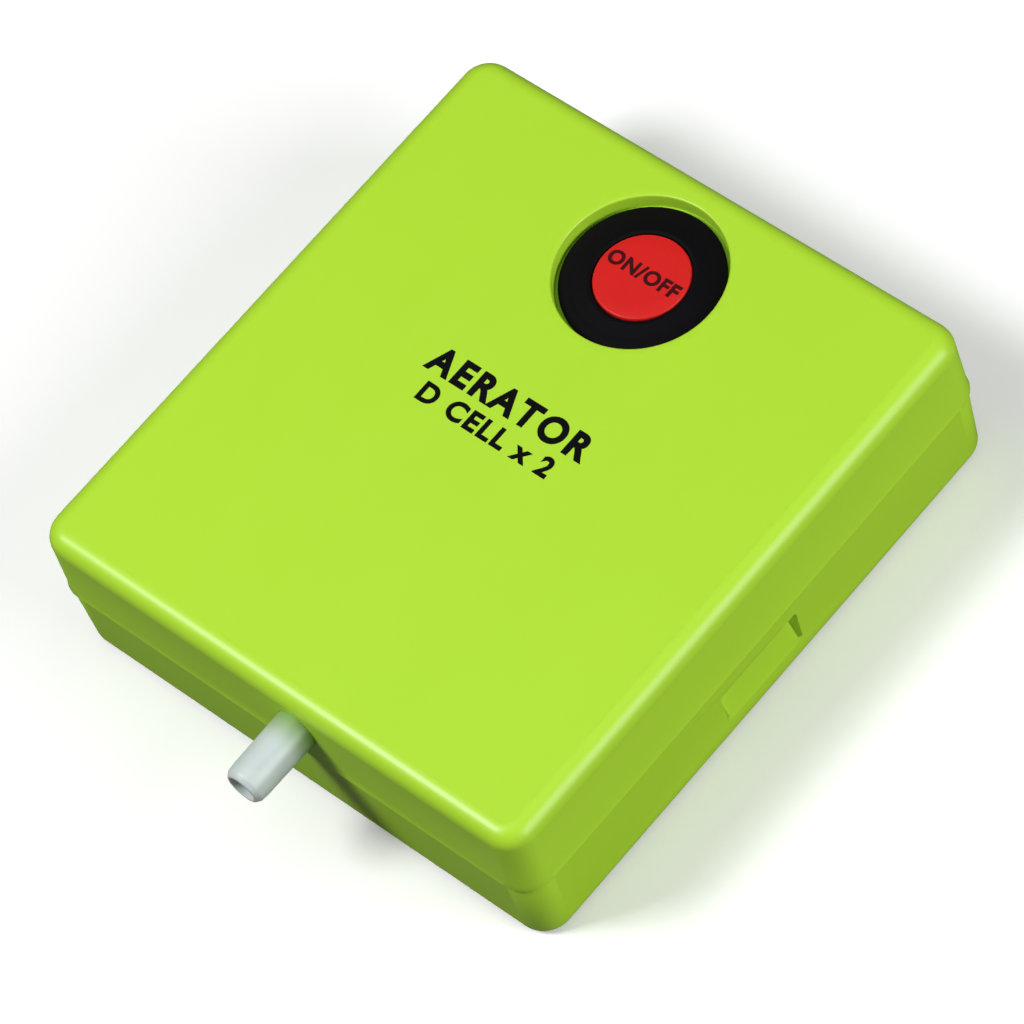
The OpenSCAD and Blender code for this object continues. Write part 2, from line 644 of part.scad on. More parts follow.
module motor_magnets() color("#4a4a4e")
    difference() {
        flat_sided(motor_r - 1, motor_flat_h - 5, motor_front_y + 4, motor_back_y - 6);
        bar_y(motor_x, motor_z, motor_r - 3, motor_front_y + 3, motor_back_y - 5);
    }

module motor_end_cap() color("#232325")
    difference() {
        union() {
            flat_sided(motor_r, motor_flat_h, motor_back_y, motor_back_y + end_cap_t);
            bar_y(motor_x, motor_z, 3.5, motor_back_y + end_cap_t - eps, motor_back_y + end_cap_t + boss_t);
        }
        bar_y(motor_x, motor_z, shaft_r + run_gap, motor_back_y - 1, motor_back_y + end_cap_t + boss_t - 0.6);
    }

module motor_terminals() color("gold")
    for (x = [-1, 1] * terminal_x)
        slab([motor_x + x - 1.2, motor_x + x + 1.2],
             [motor_back_y + end_cap_t, motor_back_y + end_cap_t + 4], [motor_z - 0.25, motor_z + 0.25]);

module motor_sleeve() color("#1c1c1e")
    difference() {
        flat_sided(motor_r + sleeve_wall, motor_flat_h + 2 * sleeve_wall, sleeve_y, sleeve_y + sleeve_l);
        flat_sided(motor_r, motor_flat_h, sleeve_y - 1, sleeve_y + sleeve_l + 1);
    }

module motor_strap() color("lightgray")
    difference() {
        union() {
            for (side = [-1, 1]) {
                inner = motor_x + side * strap_half;
                outer = motor_x + side * (strap_half + strap_t);
                toe = motor_x + side * (strap_half + strap_t + strap_foot);
                slab([min(inner, outer), max(inner, outer)], [strap_y, strap_y + strap_w],
                     [motor_z - motor_flat_h / 2 - sleeve_wall - strap_t, frame_bottom_z]);
                slab([min(inner, toe), max(inner, toe)], [strap_y, strap_y + strap_w],
                     [frame_bottom_z - strap_t, frame_bottom_z]);
            }
            slab([motor_x - strap_half, motor_x + strap_half], [strap_y, strap_y + strap_w],
                 [motor_z - motor_flat_h / 2 - sleeve_wall - strap_t,
                  motor_z - motor_flat_h / 2 - sleeve_wall]);
        }
        for (x = [-1, 1] * (strap_half + strap_foot / 2 + strap_t))
            post(motor_x + x, strap_y + strap_w / 2, pilot_r + 0.2, frame_bottom_z - 2, frame_bottom_z + 1);
    }

module strap_screws() color("silver")
    for (x = [-1, 1] * (strap_half + strap_foot / 2 + strap_t))
        translate([motor_x + x, strap_y + strap_w / 2, frame_bottom_z - strap_t]) self_screw(5, screw_head_t);

module motor_shaft() color("gainsboro")
    bar_y(motor_x, motor_z, shaft_r, crank_y - 0.5, motor_back_y + end_cap_t + boss_t - 0.8);

module armature() color("#8c5a3c")
    difference() {
        bar_y(motor_x, motor_z, motor_r - 3.6, motor_front_y + 4.5, motor_back_y - 7);
        bar_y(motor_x, motor_z, shaft_r, motor_front_y, motor_back_y);
        for (a = [30, 150, 270])
            translate([motor_x, 0, motor_z]) rotate([0, a, 0])
                slab([3, motor_r], [motor_front_y, motor_back_y], [-0.8, 0.8]);
    }

module commutator() color("goldenrod")
    difference() {
        bar_y(motor_x, motor_z, 3, motor_back_y - 6, motor_back_y - 2);
        bar_y(motor_x, motor_z, shaft_r, motor_back_y - 7, motor_back_y);
    }

// Crank and rod; the crank pin stands towards the diaphragm at rest
module crank_wheel() color("ivory")
    difference() {
        union() {
            bar_y(motor_x, motor_z, crank_r, crank_y, crank_y + crank_t);
            bar_y(motor_x + crank_throw, motor_z, pin_r, pin_end_y, crank_y + eps);
        }
        bar_y(motor_x, motor_z, shaft_r, crank_y - 0.5, crank_y + crank_t + 1);
        translate([motor_x, crank_y - 1, motor_z])
            slab([-crank_r - 1, -pin_r - 1.5], [0, crank_t + 2], [-3, 3]);
    }

module rod_bush() color("peru")
    difference() {
        bar_y(motor_x + crank_throw, motor_z, bush_r, rod_y, rod_y + rod_w);
        bar_y(motor_x + crank_throw, motor_z, pin_r + run_gap, rod_y - 1, rod_y + rod_w + 1);
    }

module connecting_rod() color("ivory")
    difference() {
        union() {
            bar_y(motor_x + crank_throw, motor_z, bush_r + rod_ring_t, rod_y, rod_y + rod_w);
            slab([motor_x + crank_throw, rod_tip_x], [rod_y, rod_y + rod_w], [motor_z - 1.5, motor_z + 1.5]);
            bar_x(rod_y + rod_w / 2, motor_z, boss_r - 1, rod_tip_x - 2, rod_tip_x);
        }
        bar_y(motor_x + crank_throw, motor_z, bush_r, rod_y - 1, rod_y + rod_w + 1);
    }

// Cells and their contacts
module cell(y0)
    union() {
        bar_y(cell_x, cell_z, cell_r - sleeve_t, y0, y0 + cell_l - cell_cap_h);
        bar_y(cell_x, cell_z, cell_cap_d / 2, y0 + cell_l - cell_cap_h - eps, y0 + cell_l);
    }
module cell_sleeve(y0)
    difference() {
        bar_y(cell_x, cell_z, cell_r, y0 + 0.8, y0 + cell_l - cell_cap_h - 0.8);
        bar_y(cell_x, cell_z, cell_r - sleeve_t, y0, y0 + cell_l);
    }
module front_cell() color("lightgray") cell(front_cell_y);
module front_cell_sleeve() color("#33363c") cell_sleeve(front_cell_y);
module rear_cell() color("lightgray") cell(rear_cell_y);
module rear_cell_sleeve() color("#33363c") cell_sleeve(rear_cell_y);

// Contact plate, with a tab that passes through the divider
module contact_plate(y)
    union() {
        slab([cell_x - 9, divider_x], [y, y + contact_t], [cell_z - 8, tab_z + tab_h]);
        slab([divider_x - eps, divider_x + divider_t + 1.6], [y, y + contact_t], [tab_z, tab_z + tab_h]);
    }

module negative_contact() color("silver")
    union() {
        contact_plate(-row_l / 2 - contact_t);
        translate([cell_x, row_front_y + 0.1, cell_z]) rotate([-90, 0, 0])
            swept(coil(7.5, 4.5, contact_spring_l - 0.6, 4, 14), 0.45, 6);
    }

module positive_contact() color("silver")
    contact_plate(row_l / 2);

module wire(route) swept(spline(route, 6), wire_d / 2, 8);
module red_wire() color("red") wire(red_route);
module black_wire() color("#202020") wire(black_route);
module switch_wire() color("royalblue") wire(switch_route);

upper_shell();
lower_cover();
chassis();
chassis_screws();
button_ring();
button_cap();
button_stem();
return_spring();
switch_body();
switch_terminals();
switch_screws();
outlet_nozzle();
outlet_hose();
pump_frame();
frame_screws();
diaphragm();
valve_plate();
inlet_flap();
outlet_flap();
pump_head();
head_screws();
inlet_filter();
motor_can();
motor_magnets();
motor_end_cap();
motor_terminals();
motor_sleeve();
motor_strap();
strap_screws();
motor_shaft();
armature();
commutator();
crank_wheel();
rod_bush();
connecting_rod();
front_cell();
front_cell_sleeve();
rear_cell();
rear_cell_sleeve();
negative_contact();
positive_contact();
red_wire();
black_wire();
switch_wire();
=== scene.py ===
"""Looks of a battery air pump: a flat lime case in two parts with a push button on top and an
airline nozzle in front, and two D cells and a small diaphragm pump inside.

Every size is in metres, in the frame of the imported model: +X right along the front, +Y to the
back, +Z up, with the origin at the centre of the case's underside.
"""
import sys
import json
import logging
import math
from collections.abc import Callable, Sequence
from dataclasses import dataclass, field
from enum import Enum

import bmesh
import bpy
from mathutils import Matrix, Vector


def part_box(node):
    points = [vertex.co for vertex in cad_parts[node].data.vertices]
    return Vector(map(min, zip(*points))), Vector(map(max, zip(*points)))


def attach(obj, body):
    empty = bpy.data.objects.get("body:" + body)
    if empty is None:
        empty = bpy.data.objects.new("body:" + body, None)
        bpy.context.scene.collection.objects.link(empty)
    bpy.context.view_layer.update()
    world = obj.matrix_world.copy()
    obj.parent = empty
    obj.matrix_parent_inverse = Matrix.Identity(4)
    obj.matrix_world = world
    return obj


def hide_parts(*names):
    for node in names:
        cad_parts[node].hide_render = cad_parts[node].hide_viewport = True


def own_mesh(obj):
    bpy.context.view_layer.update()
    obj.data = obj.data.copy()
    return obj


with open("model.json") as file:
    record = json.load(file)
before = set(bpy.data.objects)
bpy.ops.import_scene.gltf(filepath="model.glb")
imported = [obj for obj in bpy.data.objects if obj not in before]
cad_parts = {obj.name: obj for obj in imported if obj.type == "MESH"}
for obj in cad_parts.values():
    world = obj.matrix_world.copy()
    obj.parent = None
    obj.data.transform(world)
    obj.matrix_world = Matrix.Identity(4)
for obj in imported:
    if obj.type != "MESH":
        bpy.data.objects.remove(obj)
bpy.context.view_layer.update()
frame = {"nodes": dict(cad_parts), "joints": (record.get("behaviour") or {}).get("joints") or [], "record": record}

LOG = logging.getLogger("air_pump")
MM = 0.001
TINY = 0.01 * MM
ARC_STEPS = 5
TRUE_EDGE = 0.6     # radians; an edge that folds by more than this is a part's true edge
ANY_ANGLE = 3.1     # radians; no two triangles of a tube meet at more than this
Colour = tuple[float, float, float]


class Body(Enum):
    """The bodies that move against each other."""
    CASE = "case"
    COVER = "cover"
    BUTTON = "button"
    CRANK = "crank"
    ROD = "rod"


class Axis(Enum):
    """An axis that a turned piece is turned about."""
    X = (1.0, 0.0, 0.0)
    Y = (0.0, 1.0, 0.0)
    Z = (0.0, 0.0, 1.0)

    @property
    def along(self) -> Vector:
        """Unit vector along the axis."""
        return Vector(self.value)

    @property
    def across(self) -> Vector:
        """Unit vector square to the axis, on which outlines are drawn."""
        return Vector((0.0, 0.0, 1.0)) if self is Axis.X else Vector((1.0, 0.0, 0.0))


# ---------------------------------------------------------------- shader tools


class Value:
    """A number in a shader, on which Python's operators add Math nodes."""

    def __init__(self, paint: "Paint", socket: bpy.types.NodeSocket) -> None:
        """Wraps a socket of a paint's tree."""
        self.paint = paint
        self.socket = socket

    def _math(self, operation: str, first: "Value | float", second: "Value | float") -> "Value":
        """Adds one Math node.

        Args:
            operation: Name of the Math node's operation.
            first: First number or value.
            second: Second number or value.

        Returns:
            The node's result.
        """
        node = self.paint.add("ShaderNodeMath", {"operation": operation}, {0: first, 1: second})
        return Value(self.paint, node.outputs[0])

    def __add__(self, other: "Value | float") -> "Value":
        """Sum."""
        return self._math("ADD", self, other)

    __radd__ = __add__

    def __mul__(self, other: "Value | float") -> "Value":
        """Product."""
        return self._math("MULTIPLY", self, other)

    __rmul__ = __mul__

    def __sub__(self, other: "Value | float") -> "Value":
        """Difference."""
        return self._math("SUBTRACT", self, other)

    def __rsub__(self, other: "Value | float") -> "Value":
        """Difference from a plain number."""
        return self._math("SUBTRACT", other, self)

    def above(self, level: float) -> "Value":
        """1 where the value is above the level, else 0."""
        return self._math("GREATER_THAN", self, level)

    def between(self, low: float, high: float) -> "Value":
        """Rises smoothly from 0 at low to 1 at high."""
        node = self.paint.add("ShaderNodeMapRange", {"interpolation_type": "SMOOTHSTEP"},
                              {"Value": self, "From Min": low, "From Max": high})
        return Value(self.paint, node.outputs[0])


class Paint:
    """The node tree of one material, built round a Principled shader."""

    def __init__(self, name: str) -> None:
        """Makes a material that holds only a Principled shader.

        Args:
            name: The material's name.
        """
        self.material = bpy.data.materials.new(name)
        self.material.use_nodes = True
        self.tree = self.material.node_tree
        self.tree.nodes.clear()
        self.shader = self.add("ShaderNodeBsdfPrincipled")
        self.add("ShaderNodeOutputMaterial", {}, {"Surface": self.shader.outputs[0]})
        self.place = self.add("ShaderNodeTexCoord").outputs["Object"]

    def add(self, kind: str, settings: dict | None = None,
            inputs: dict | None = None) -> bpy.types.Node:
        """Adds a node, its settings first.

        Args:
            kind: The node's type.
            settings: The node's own settings, by name.
            inputs: What goes into its sockets, by name or place: a number, colour, socket or value.

        Returns:
            The node.
        """
        node = self.tree.nodes.new(kind)
        for key, setting in (settings or {}).items():
            setattr(node, key, setting)
        for key, given in (inputs or {}).items():
            self.feed(node.inputs[key], given)
        return node

    def feed(self, socket: bpy.types.NodeSocket, given: object) -> None:
        """Sets or links a socket.

        Args:
            socket: The socket.
            given: What goes into it: a number, colour, socket or value.
        """
        if isinstance(given, (Value, bpy.types.NodeSocket)):
            self.tree.links.new(given.socket if isinstance(given, Value) else given, socket)
        else:
            socket.default_value = (*given, 1.0) if socket.type == "RGBA" else given

    def stretched(self, scale: tuple[float, float, float]) -> bpy.types.NodeSocket:
        """Object coordinates stretched along the axes."""
        return self.add("ShaderNodeMapping", {}, {"Vector": self.place, "Scale": scale}).outputs[0]

    def noise(self, size: float, detail: float = 2.0,
              place: bpy.types.NodeSocket | None = None) -> Value:
        """Cloudy noise.

        Args:
            size: Size of its features, in metres.
            detail: How many finer layers it has.
            place: Coordinates, or None for the object's own.

        Returns:
            The noise, about 0.5 on average.
        """
        node = self.add("ShaderNodeTexNoise", {}, {"Vector": place or self.place, "Scale": 1 / size,
                                                   "Detail": detail})
        return Value(self, node.outputs[0])

    def along(self, axis: Axis) -> Value:
        """The object coordinate along an axis, in metres."""
        node = self.add("ShaderNodeSeparateXYZ", {}, {0: self.place})
        return Value(self, node.outputs[axis.name])

    def mix(self, share: Value, first: Colour | bpy.types.NodeSocket,
            second: Colour | bpy.types.NodeSocket) -> bpy.types.NodeSocket:
        """Mixes two colours.

        Args:
            share: 0 for the first colour, 1 for the second.
            first: The first colour.
            second: The second colour.

        Returns:
            The mixed colour.
        """
        node = self.add("ShaderNodeMix", {"data_type": "RGBA"}, {0: share, 6: first, 7: second})
        return node.outputs[2]

    def set(self, **inputs: object) -> None:
        """Sets or links the shader's sockets, with _ for a space in a name."""
        for key, given in inputs.items():
            self.feed(self.shader.inputs[key.replace("_", " ")], given)

    def bump(self, height: Value, depth: float) -> None:
        """Raises the surface by a height.

        Args:
            height: The height, from 0 to 1.
            depth: What a height of 1 stands for, in metres.
        """
        node = self.add("ShaderNodeBump", {}, {"Strength": 1.0, "Distance": depth,
                                               "Height": height})
        self.set(Normal=node.outputs[0])


# ---------------------------------------------------------------- finishes


@dataclass(frozen=True)
class Finish:
    """What a surface is made of; slot is the record's name for it."""
    slot: str
    colour: Colour
    roughness: float

    def material(self) -> bpy.types.Material:
        """Makes the finish's material, or finds it if it was made before.

        Returns:
            The material.
        """
        name = f"{type(self).__name__}_{self.slot}"
        known = bpy.data.materials.get(name)
        if known:
            return known
        paint = Paint(name)
        self.dress(paint)
        return paint.material

    def dress(self, paint: Paint) -> None:
        """Builds the finish's own nodes in a paint."""
        raise NotImplementedError


def shade(colour: Colour, factor: float) -> Colour:
    """The colour made darker or lighter by a factor."""
    return tuple(min(1.0, channel * factor) for channel in colour)


@dataclass(frozen=True)
class Moulded(Finish):
    """Injection-moulded plastic or rubber: faint flow clouds, uneven gloss and a fine grain."""
    mottle: float = 0.05
    gloss_spread: float = 0.08
    grain: float = 0.35 * MM
    grain_depth: float = 0.006 * MM
    coat: float = 0.0
    coat_roughness: float = 0.35
    specular: float = 0.5

    def dress(self, paint: Paint) -> None:
        """Builds the finish's nodes.

        Args:
            paint: The material that they go into.
        """
        clouds = paint.noise(28 * MM, 3.0)
        flow = paint.noise(6 * MM, 4.0, paint.stretched((1.0, 0.25, 1.0)))
        fine = paint.noise(self.grain, 2.0)
        share = clouds * 0.7 + flow * 0.3
        paint.set(Base_Color=paint.mix(share, shade(self.colour, 1 - self.mottle),
                                       shade(self.colour, 1 + self.mottle)),
                  Roughness=flow * self.gloss_spread + (self.roughness - self.gloss_spread / 2),
                  Coat_Weight=self.coat, Coat_Roughness=self.coat_roughness,
                  Specular_IOR_Level=self.specular)
        paint.bump(fine * 0.8 + flow * 0.2, self.grain_depth)


@dataclass(frozen=True)
class Metal(Finish):
    """Drawn or plated metal, with streaks along its length and dull patches."""
    streaks: tuple[float, float, float] = (1.0, 0.05, 1.0)
    spread: float = 0.16

    def dress(self, paint: Paint) -> None:
        """Builds the finish's nodes.

        Args:
            paint: The material that they go into.
        """
        streak = paint.noise(0.6 * MM, 3.0, paint.stretched(self.streaks))
        patch = paint.noise(9 * MM, 3.0)
        paint.set(Base_Color=paint.mix(patch, shade(self.colour, 0.82), shade(self.colour, 1.08)),
                  Metallic=1.0,
                  Roughness=streak * self.spread + patch * 0.1 + (self.roughness - self.spread / 2))
        paint.bump(streak, 0.004 * MM)


@dataclass(frozen=True)
class Vinyl(Finish):
    """Frosted soft vinyl, with the green light of the case painted onto it where it goes in and behind that."""
    root_y: float = 0.0
    case_glow_tint: Colour = (0.2, 0.4, 0.05)
    case_glow_length: float = 7 * MM

    def dress(self, paint: Paint) -> None:
        """Builds the finish's nodes.

        Args:
            paint: The material that they go into.
        """
        haze = paint.noise(3 * MM, 3.0)
        frosted = paint.mix(haze, shade(self.colour, 0.94), shade(self.colour, 1.04))
        # painted light: green from the case showing through the clear vinyl, mixed into the colour near the root
        case_glow_share = paint.along(Axis.Y).between(self.root_y - self.case_glow_length,
                                                self.root_y + 0.5 * MM)
        paint.set(Base_Color=paint.mix(case_glow_share * 0.9, frosted, self.case_glow_tint),
                  Roughness=haze * 0.1 + (self.roughness - 0.05),
                  Subsurface_Weight=0.35, Subsurface_Scale=3 * MM)
        paint.bump(paint.noise(0.3 * MM, 2.0), 0.004 * MM)


@dataclass(frozen=True)
class Winding(Finish):
    """Enamelled copper wire wound in turns round the motor's armature, with painted shade in the gaps between the
    turns.
    """
    turn: float = 0.5 * MM

    def dress(self, paint: Paint) -> None:
        """Builds the finish's nodes.

        Args:
            paint: The material that they go into.
        """
        wave = paint.add("ShaderNodeTexWave", {"bands_direction": "X"},
                         {"Vector": paint.place, "Scale": 0.3 / self.turn, "Distortion": 0.6})
        turns = Value(paint, wave.outputs["Fac"])
        # the dark bands between the turns are painted shade in the gaps between the wires
        paint.set(Base_Color=paint.mix(turns, shade(self.colour, 0.35), self.colour), Metallic=0.8,
                  Roughness=turns * 0.15 + self.roughness)
        paint.bump(turns, 0.15 * MM)


@dataclass(frozen=True)
class Felt(Finish):
    """Needled felt of fine fibres."""

    def dress(self, paint: Paint) -> None:
        """Builds the finish's nodes.

        Args:
            paint: The material that they go into.
        """
        fibres = paint.noise(0.25 * MM, 6.0, paint.stretched((1.0, 0.3, 1.0)))
        tufts = paint.noise(1.2 * MM, 4.0)
        paint.set(Base_Color=paint.mix(tufts, shade(self.colour, 0.8), self.colour),
                  Roughness=fibres * 0.1 + self.roughness, Sheen_Weight=0.3)
        paint.bump(fibres * 0.6 + tufts * 0.4, 0.2 * MM)


@dataclass(frozen=True)
class CellLabel(Finish):
    """Printed shrink sleeve of a cell: a plain dark body with a metallic band at its top end."""
    band: Colour = (0.55, 0.42, 0.2)
    tops: tuple[float, ...] = ()
    band_l: float = 13 * MM

    def dress(self, paint: Paint) -> None:
        """Builds the finish's nodes.

        Args:
            paint: The material that they go into.
        """
        y = paint.along(Axis.Y)
        banded = y.above(1.0)
        for top in self.tops:
            banded = banded + y.above(top - self.band_l) * (1 - y.above(top))
        scuffs = paint.noise(5 * MM, 5.0)
        body = paint.mix(scuffs, shade(self.colour, 0.7), shade(self.colour, 1.5))
        paint.set(Base_Color=paint.mix(banded, body, self.band), Metallic=banded * 0.7,
                  Roughness=scuffs * 0.15 + self.roughness)
        paint.bump(paint.noise(2 * MM, 3.0), 0.03 * MM)


@dataclass(frozen=True)
class Ink(Finish):
    """Pad-printed ink, a little uneven."""

    def dress(self, paint: Paint) -> None:
        """Builds the finish's nodes.

        Args:
            paint: The material that they go into.
        """
        cover = paint.noise(1.1 * MM, 4.0)
        paint.set(Base_Color=paint.mix(cover, shade(self.colour, 0.85), shade(self.colour, 1.2)),
                  Roughness=cover * 0.2 + (self.roughness - 0.1), Specular_IOR_Level=0.1)


LIME = Moulded("green_plastic", (0.46, 0.785, 0.035), 0.38, mottle=0.02, coat=0.2, specular=0.45)
BLACK_RUBBER = Moulded("black_rubber", (0.0025, 0.002, 0.003), 0.6, grain_depth=0.01 * MM,
                       specular=0.1)
RED_CAP = Moulded("red_plastic", (0.69, 0.016, 0.014), 0.42, mottle=0.05, specular=0.25)
GREY_PLASTIC = Moulded("grey_plastic", (0.055, 0.06, 0.066), 0.5, grain_depth=0.012 * MM)
PALE_PLASTIC = Moulded("pale_plastic", (0.68, 0.65, 0.57), 0.4)
FERRITE = Moulded("ferrite", (0.05, 0.05, 0.055), 0.65, grain_depth=0.02 * MM)
RED_WIRE = Moulded("red_insulation", (0.6, 0.02, 0.02), 0.4)
BLACK_WIRE = Moulded("black_insulation", (0.015, 0.015, 0.016), 0.4)
BLUE_WIRE = Moulded("blue_insulation", (0.03, 0.1, 0.5), 0.4)
STEEL = Metal("steel", (0.6, 0.6, 0.6), 0.34)
CELL_CAN = Metal("cell_case", (0.66, 0.66, 0.64), 0.26)
ZINC = Metal("zinc_screw", (0.68, 0.68, 0.64), 0.3)
BRASS = Metal("brass", (0.78, 0.56, 0.22), 0.3)
COPPER = Winding("copper_winding", (0.7, 0.28, 0.12), 0.3)
FELT = Felt("felt", (0.8, 0.8, 0.76), 0.9)
CLEAR_VINYL = Vinyl("clear_vinyl", (0.62, 0.7, 0.69), 0.36, root_y=-69.95 * MM)
BLACK_INK = Ink("black_rubber", (0.002, 0.002, 0.003), 0.6)
DARK_RED_INK = Ink("red_plastic", (0.05, 0.006, 0.008), 0.5)


# ---------------------------------------------------------------- mesh tools


@dataclass(frozen=True)
class Corner:
    """A corner of a turned outline: its radius, its place along the axis, and its fillet."""
    r: float
    h: float
    fillet: float = 0.0


def rounded(corners: Sequence[Corner], closed: bool) -> list[Vector]:
    """Rounds an outline's corners with arcs.

    Args:
        corners: The outline's corners in order.
        closed: Whether the last corner joins the first.

    Returns:
        Points (radius, height) along the outline.
    """
    points: list[Vector] = []
    count = len(corners)
    for i, corner in enumerate(corners):
        here = Vector((corner.r, corner.h))
        if corner.fillet == 0 or (not closed and i in (0, count - 1)):
            points.append(here)
            continue
        before, after = corners[i - 1], corners[(i + 1) % count]
        to_before = (Vector((before.r, before.h)) - here).normalized()
        to_after = (Vector((after.r, after.h)) - here).normalized()
        half = to_before.angle(to_after) / 2
        start = here + to_before * (corner.fillet / math.tan(half))
        centre = here + (to_before + to_after).normalized() * (corner.fillet / math.sin(half))
        end = here + to_after * (corner.fillet / math.tan(half))
        turn = (start - centre).angle_signed(end - centre)
        for step in range(ARC_STEPS + 1):
            points.append(centre + Matrix.Rotation(-turn * step / ARC_STEPS, 2) @ (start - centre))
    return points


def turn(bm: bmesh.types.BMesh, corners: Sequence[Corner], axis: Axis, centre: Vector,
         steps: int = 64, closed: bool = True) -> list[bmesh.types.BMVert]:
    """Turns an outline about an axis.

    Args:
        bm: Mesh that it is added to.
        corners: The outline's corners.
        axis: The axis that it is turned about.
        centre: Point on the axis that heights count from.
        steps: Number of sides.
        closed: Whether the outline is a closed loop.

    Returns:
        The new vertices.
    """
    known = set(bm.verts)
    points = rounded(corners, closed)
    verts = [bm.verts.new(centre + axis.across * p.x + axis.along * p.y) for p in points]
    pairs = list(zip(verts, verts[1:]))
    if closed:
        pairs.append((verts[-1], verts[0]))
    edges = [bm.edges.new(pair) for pair in pairs]
    bmesh.ops.spin(bm, geom=verts + edges, cent=centre, axis=axis.along, dvec=(0, 0, 0),
                   angle=math.tau, steps=steps, use_merge=True, use_duplicate=False)
    fresh = [v for v in bm.verts if v not in known]
    bmesh.ops.remove_doubles(bm, verts=fresh, dist=TINY / 10)
    fresh = [v for v in bm.verts if v not in known]
    faces = list({f for v in fresh for f in v.link_faces})
    bmesh.ops.recalc_face_normals(bm, faces=faces)
    return fresh


def block(half: tuple[float, float], span: tuple[float, float]) -> bmesh.types.BMesh:
    """Makes a mesh of one block on the case's axis.

    Args:
        half: Half its width and half its depth.
        span: Its lowest and highest height.

    Returns:
        The new mesh.
    """
    bm = bmesh.new()
    bmesh.ops.create_cube(bm, size=1.0)
    bmesh.ops.scale(bm, vec=(2 * half[0], 2 * half[1], span[1] - span[0]), verts=bm.verts)
    bmesh.ops.translate(bm, vec=(0, 0, sum(span) / 2), verts=bm.verts)
    return bm


def upright_edges(bm: bmesh.types.BMesh) -> list[bmesh.types.BMEdge]:
    """The edges that stand straight up."""
    return [e for e in bm.edges if near(e.verts[0].co.x, e.verts[1].co.x)
            and near(e.verts[0].co.y, e.verts[1].co.y)]


def edges_where(bm: bmesh.types.BMesh, test: Callable[[Vector], bool]) -> list[bmesh.types.BMEdge]:
    """The edges whose two ends pass a test."""
    return [e for e in bm.edges if test(e.verts[0].co) and test(e.verts[1].co)]


def round_edges(bm: bmesh.types.BMesh, edges: Sequence[bmesh.types.BMEdge], radius: float,
                segments: int = 3) -> None:
    """Rounds edges.

    Args:
        bm: The mesh.
        edges: The edges to round.
        radius: Width of the bevel.
        segments: Number of facets across it.
    """
    bmesh.ops.bevel(bm, geom=list(edges), offset=radius, offset_type="OFFSET", segments=segments,
                    profile=0.5, affect="EDGES", material=-1, clamp_overlap=True)


def near(a: float, b: float, gap: float = TINY) -> bool:
    """Whether two lengths are the same to a hundredth of a millimetre."""
    return abs(a - b) < gap


def middle_of(node: str) -> Vector:
    """The middle of a CAD node's box."""
    low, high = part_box(node)
    return Vector([(low[i] + high[i]) / 2 for i in range(3)])


def join_into(bm: bmesh.types.BMesh, part: bmesh.types.BMesh) -> None:
    """Adds a part to a mesh.

    Args:
        bm: The mesh.
        part: The part's mesh, which is freed.
    """
    mesh = bpy.data.meshes.new("part")
    part.to_mesh(mesh)
    part.free()
    bm.from_mesh(mesh)
    bpy.data.meshes.remove(mesh)


def finish_piece(name: str, bm: bmesh.types.BMesh, body: Body, nodes: Sequence[str], finish: Finish,
                 smooth_deg: float = 38.0) -> bpy.types.Object:
    """Makes a mesh into a piece of the object, dressed and riding on its body.

    Args:
        name: The piece's name.
        bm: Its mesh, which is freed.
        body: The body that it moves with.
        nodes: The CAD nodes that it stands for.
        finish: What it is made of.
        smooth_deg: Edges sharper than this stay sharp.

    Returns:
        The piece.
    """
    mesh = bpy.data.meshes.new(name)
    bm.to_mesh(mesh)
    bm.free()
    mesh.polygons.foreach_set("use_smooth", [True] * len(mesh.polygons))
    mesh.set_sharp_from_angle(angle=math.radians(smooth_deg))
    piece = bpy.data.objects.new(name, mesh)
    bpy.context.scene.collection.objects.link(piece)
    piece.data.materials.append(finish.material())
    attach(piece, body.value)
    if nodes:
        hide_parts(*nodes)
    LOG.info("%s: %d faces on %s", name, len(mesh.polygons), body.value)
    return piece


# ---------------------------------------------------------------- case


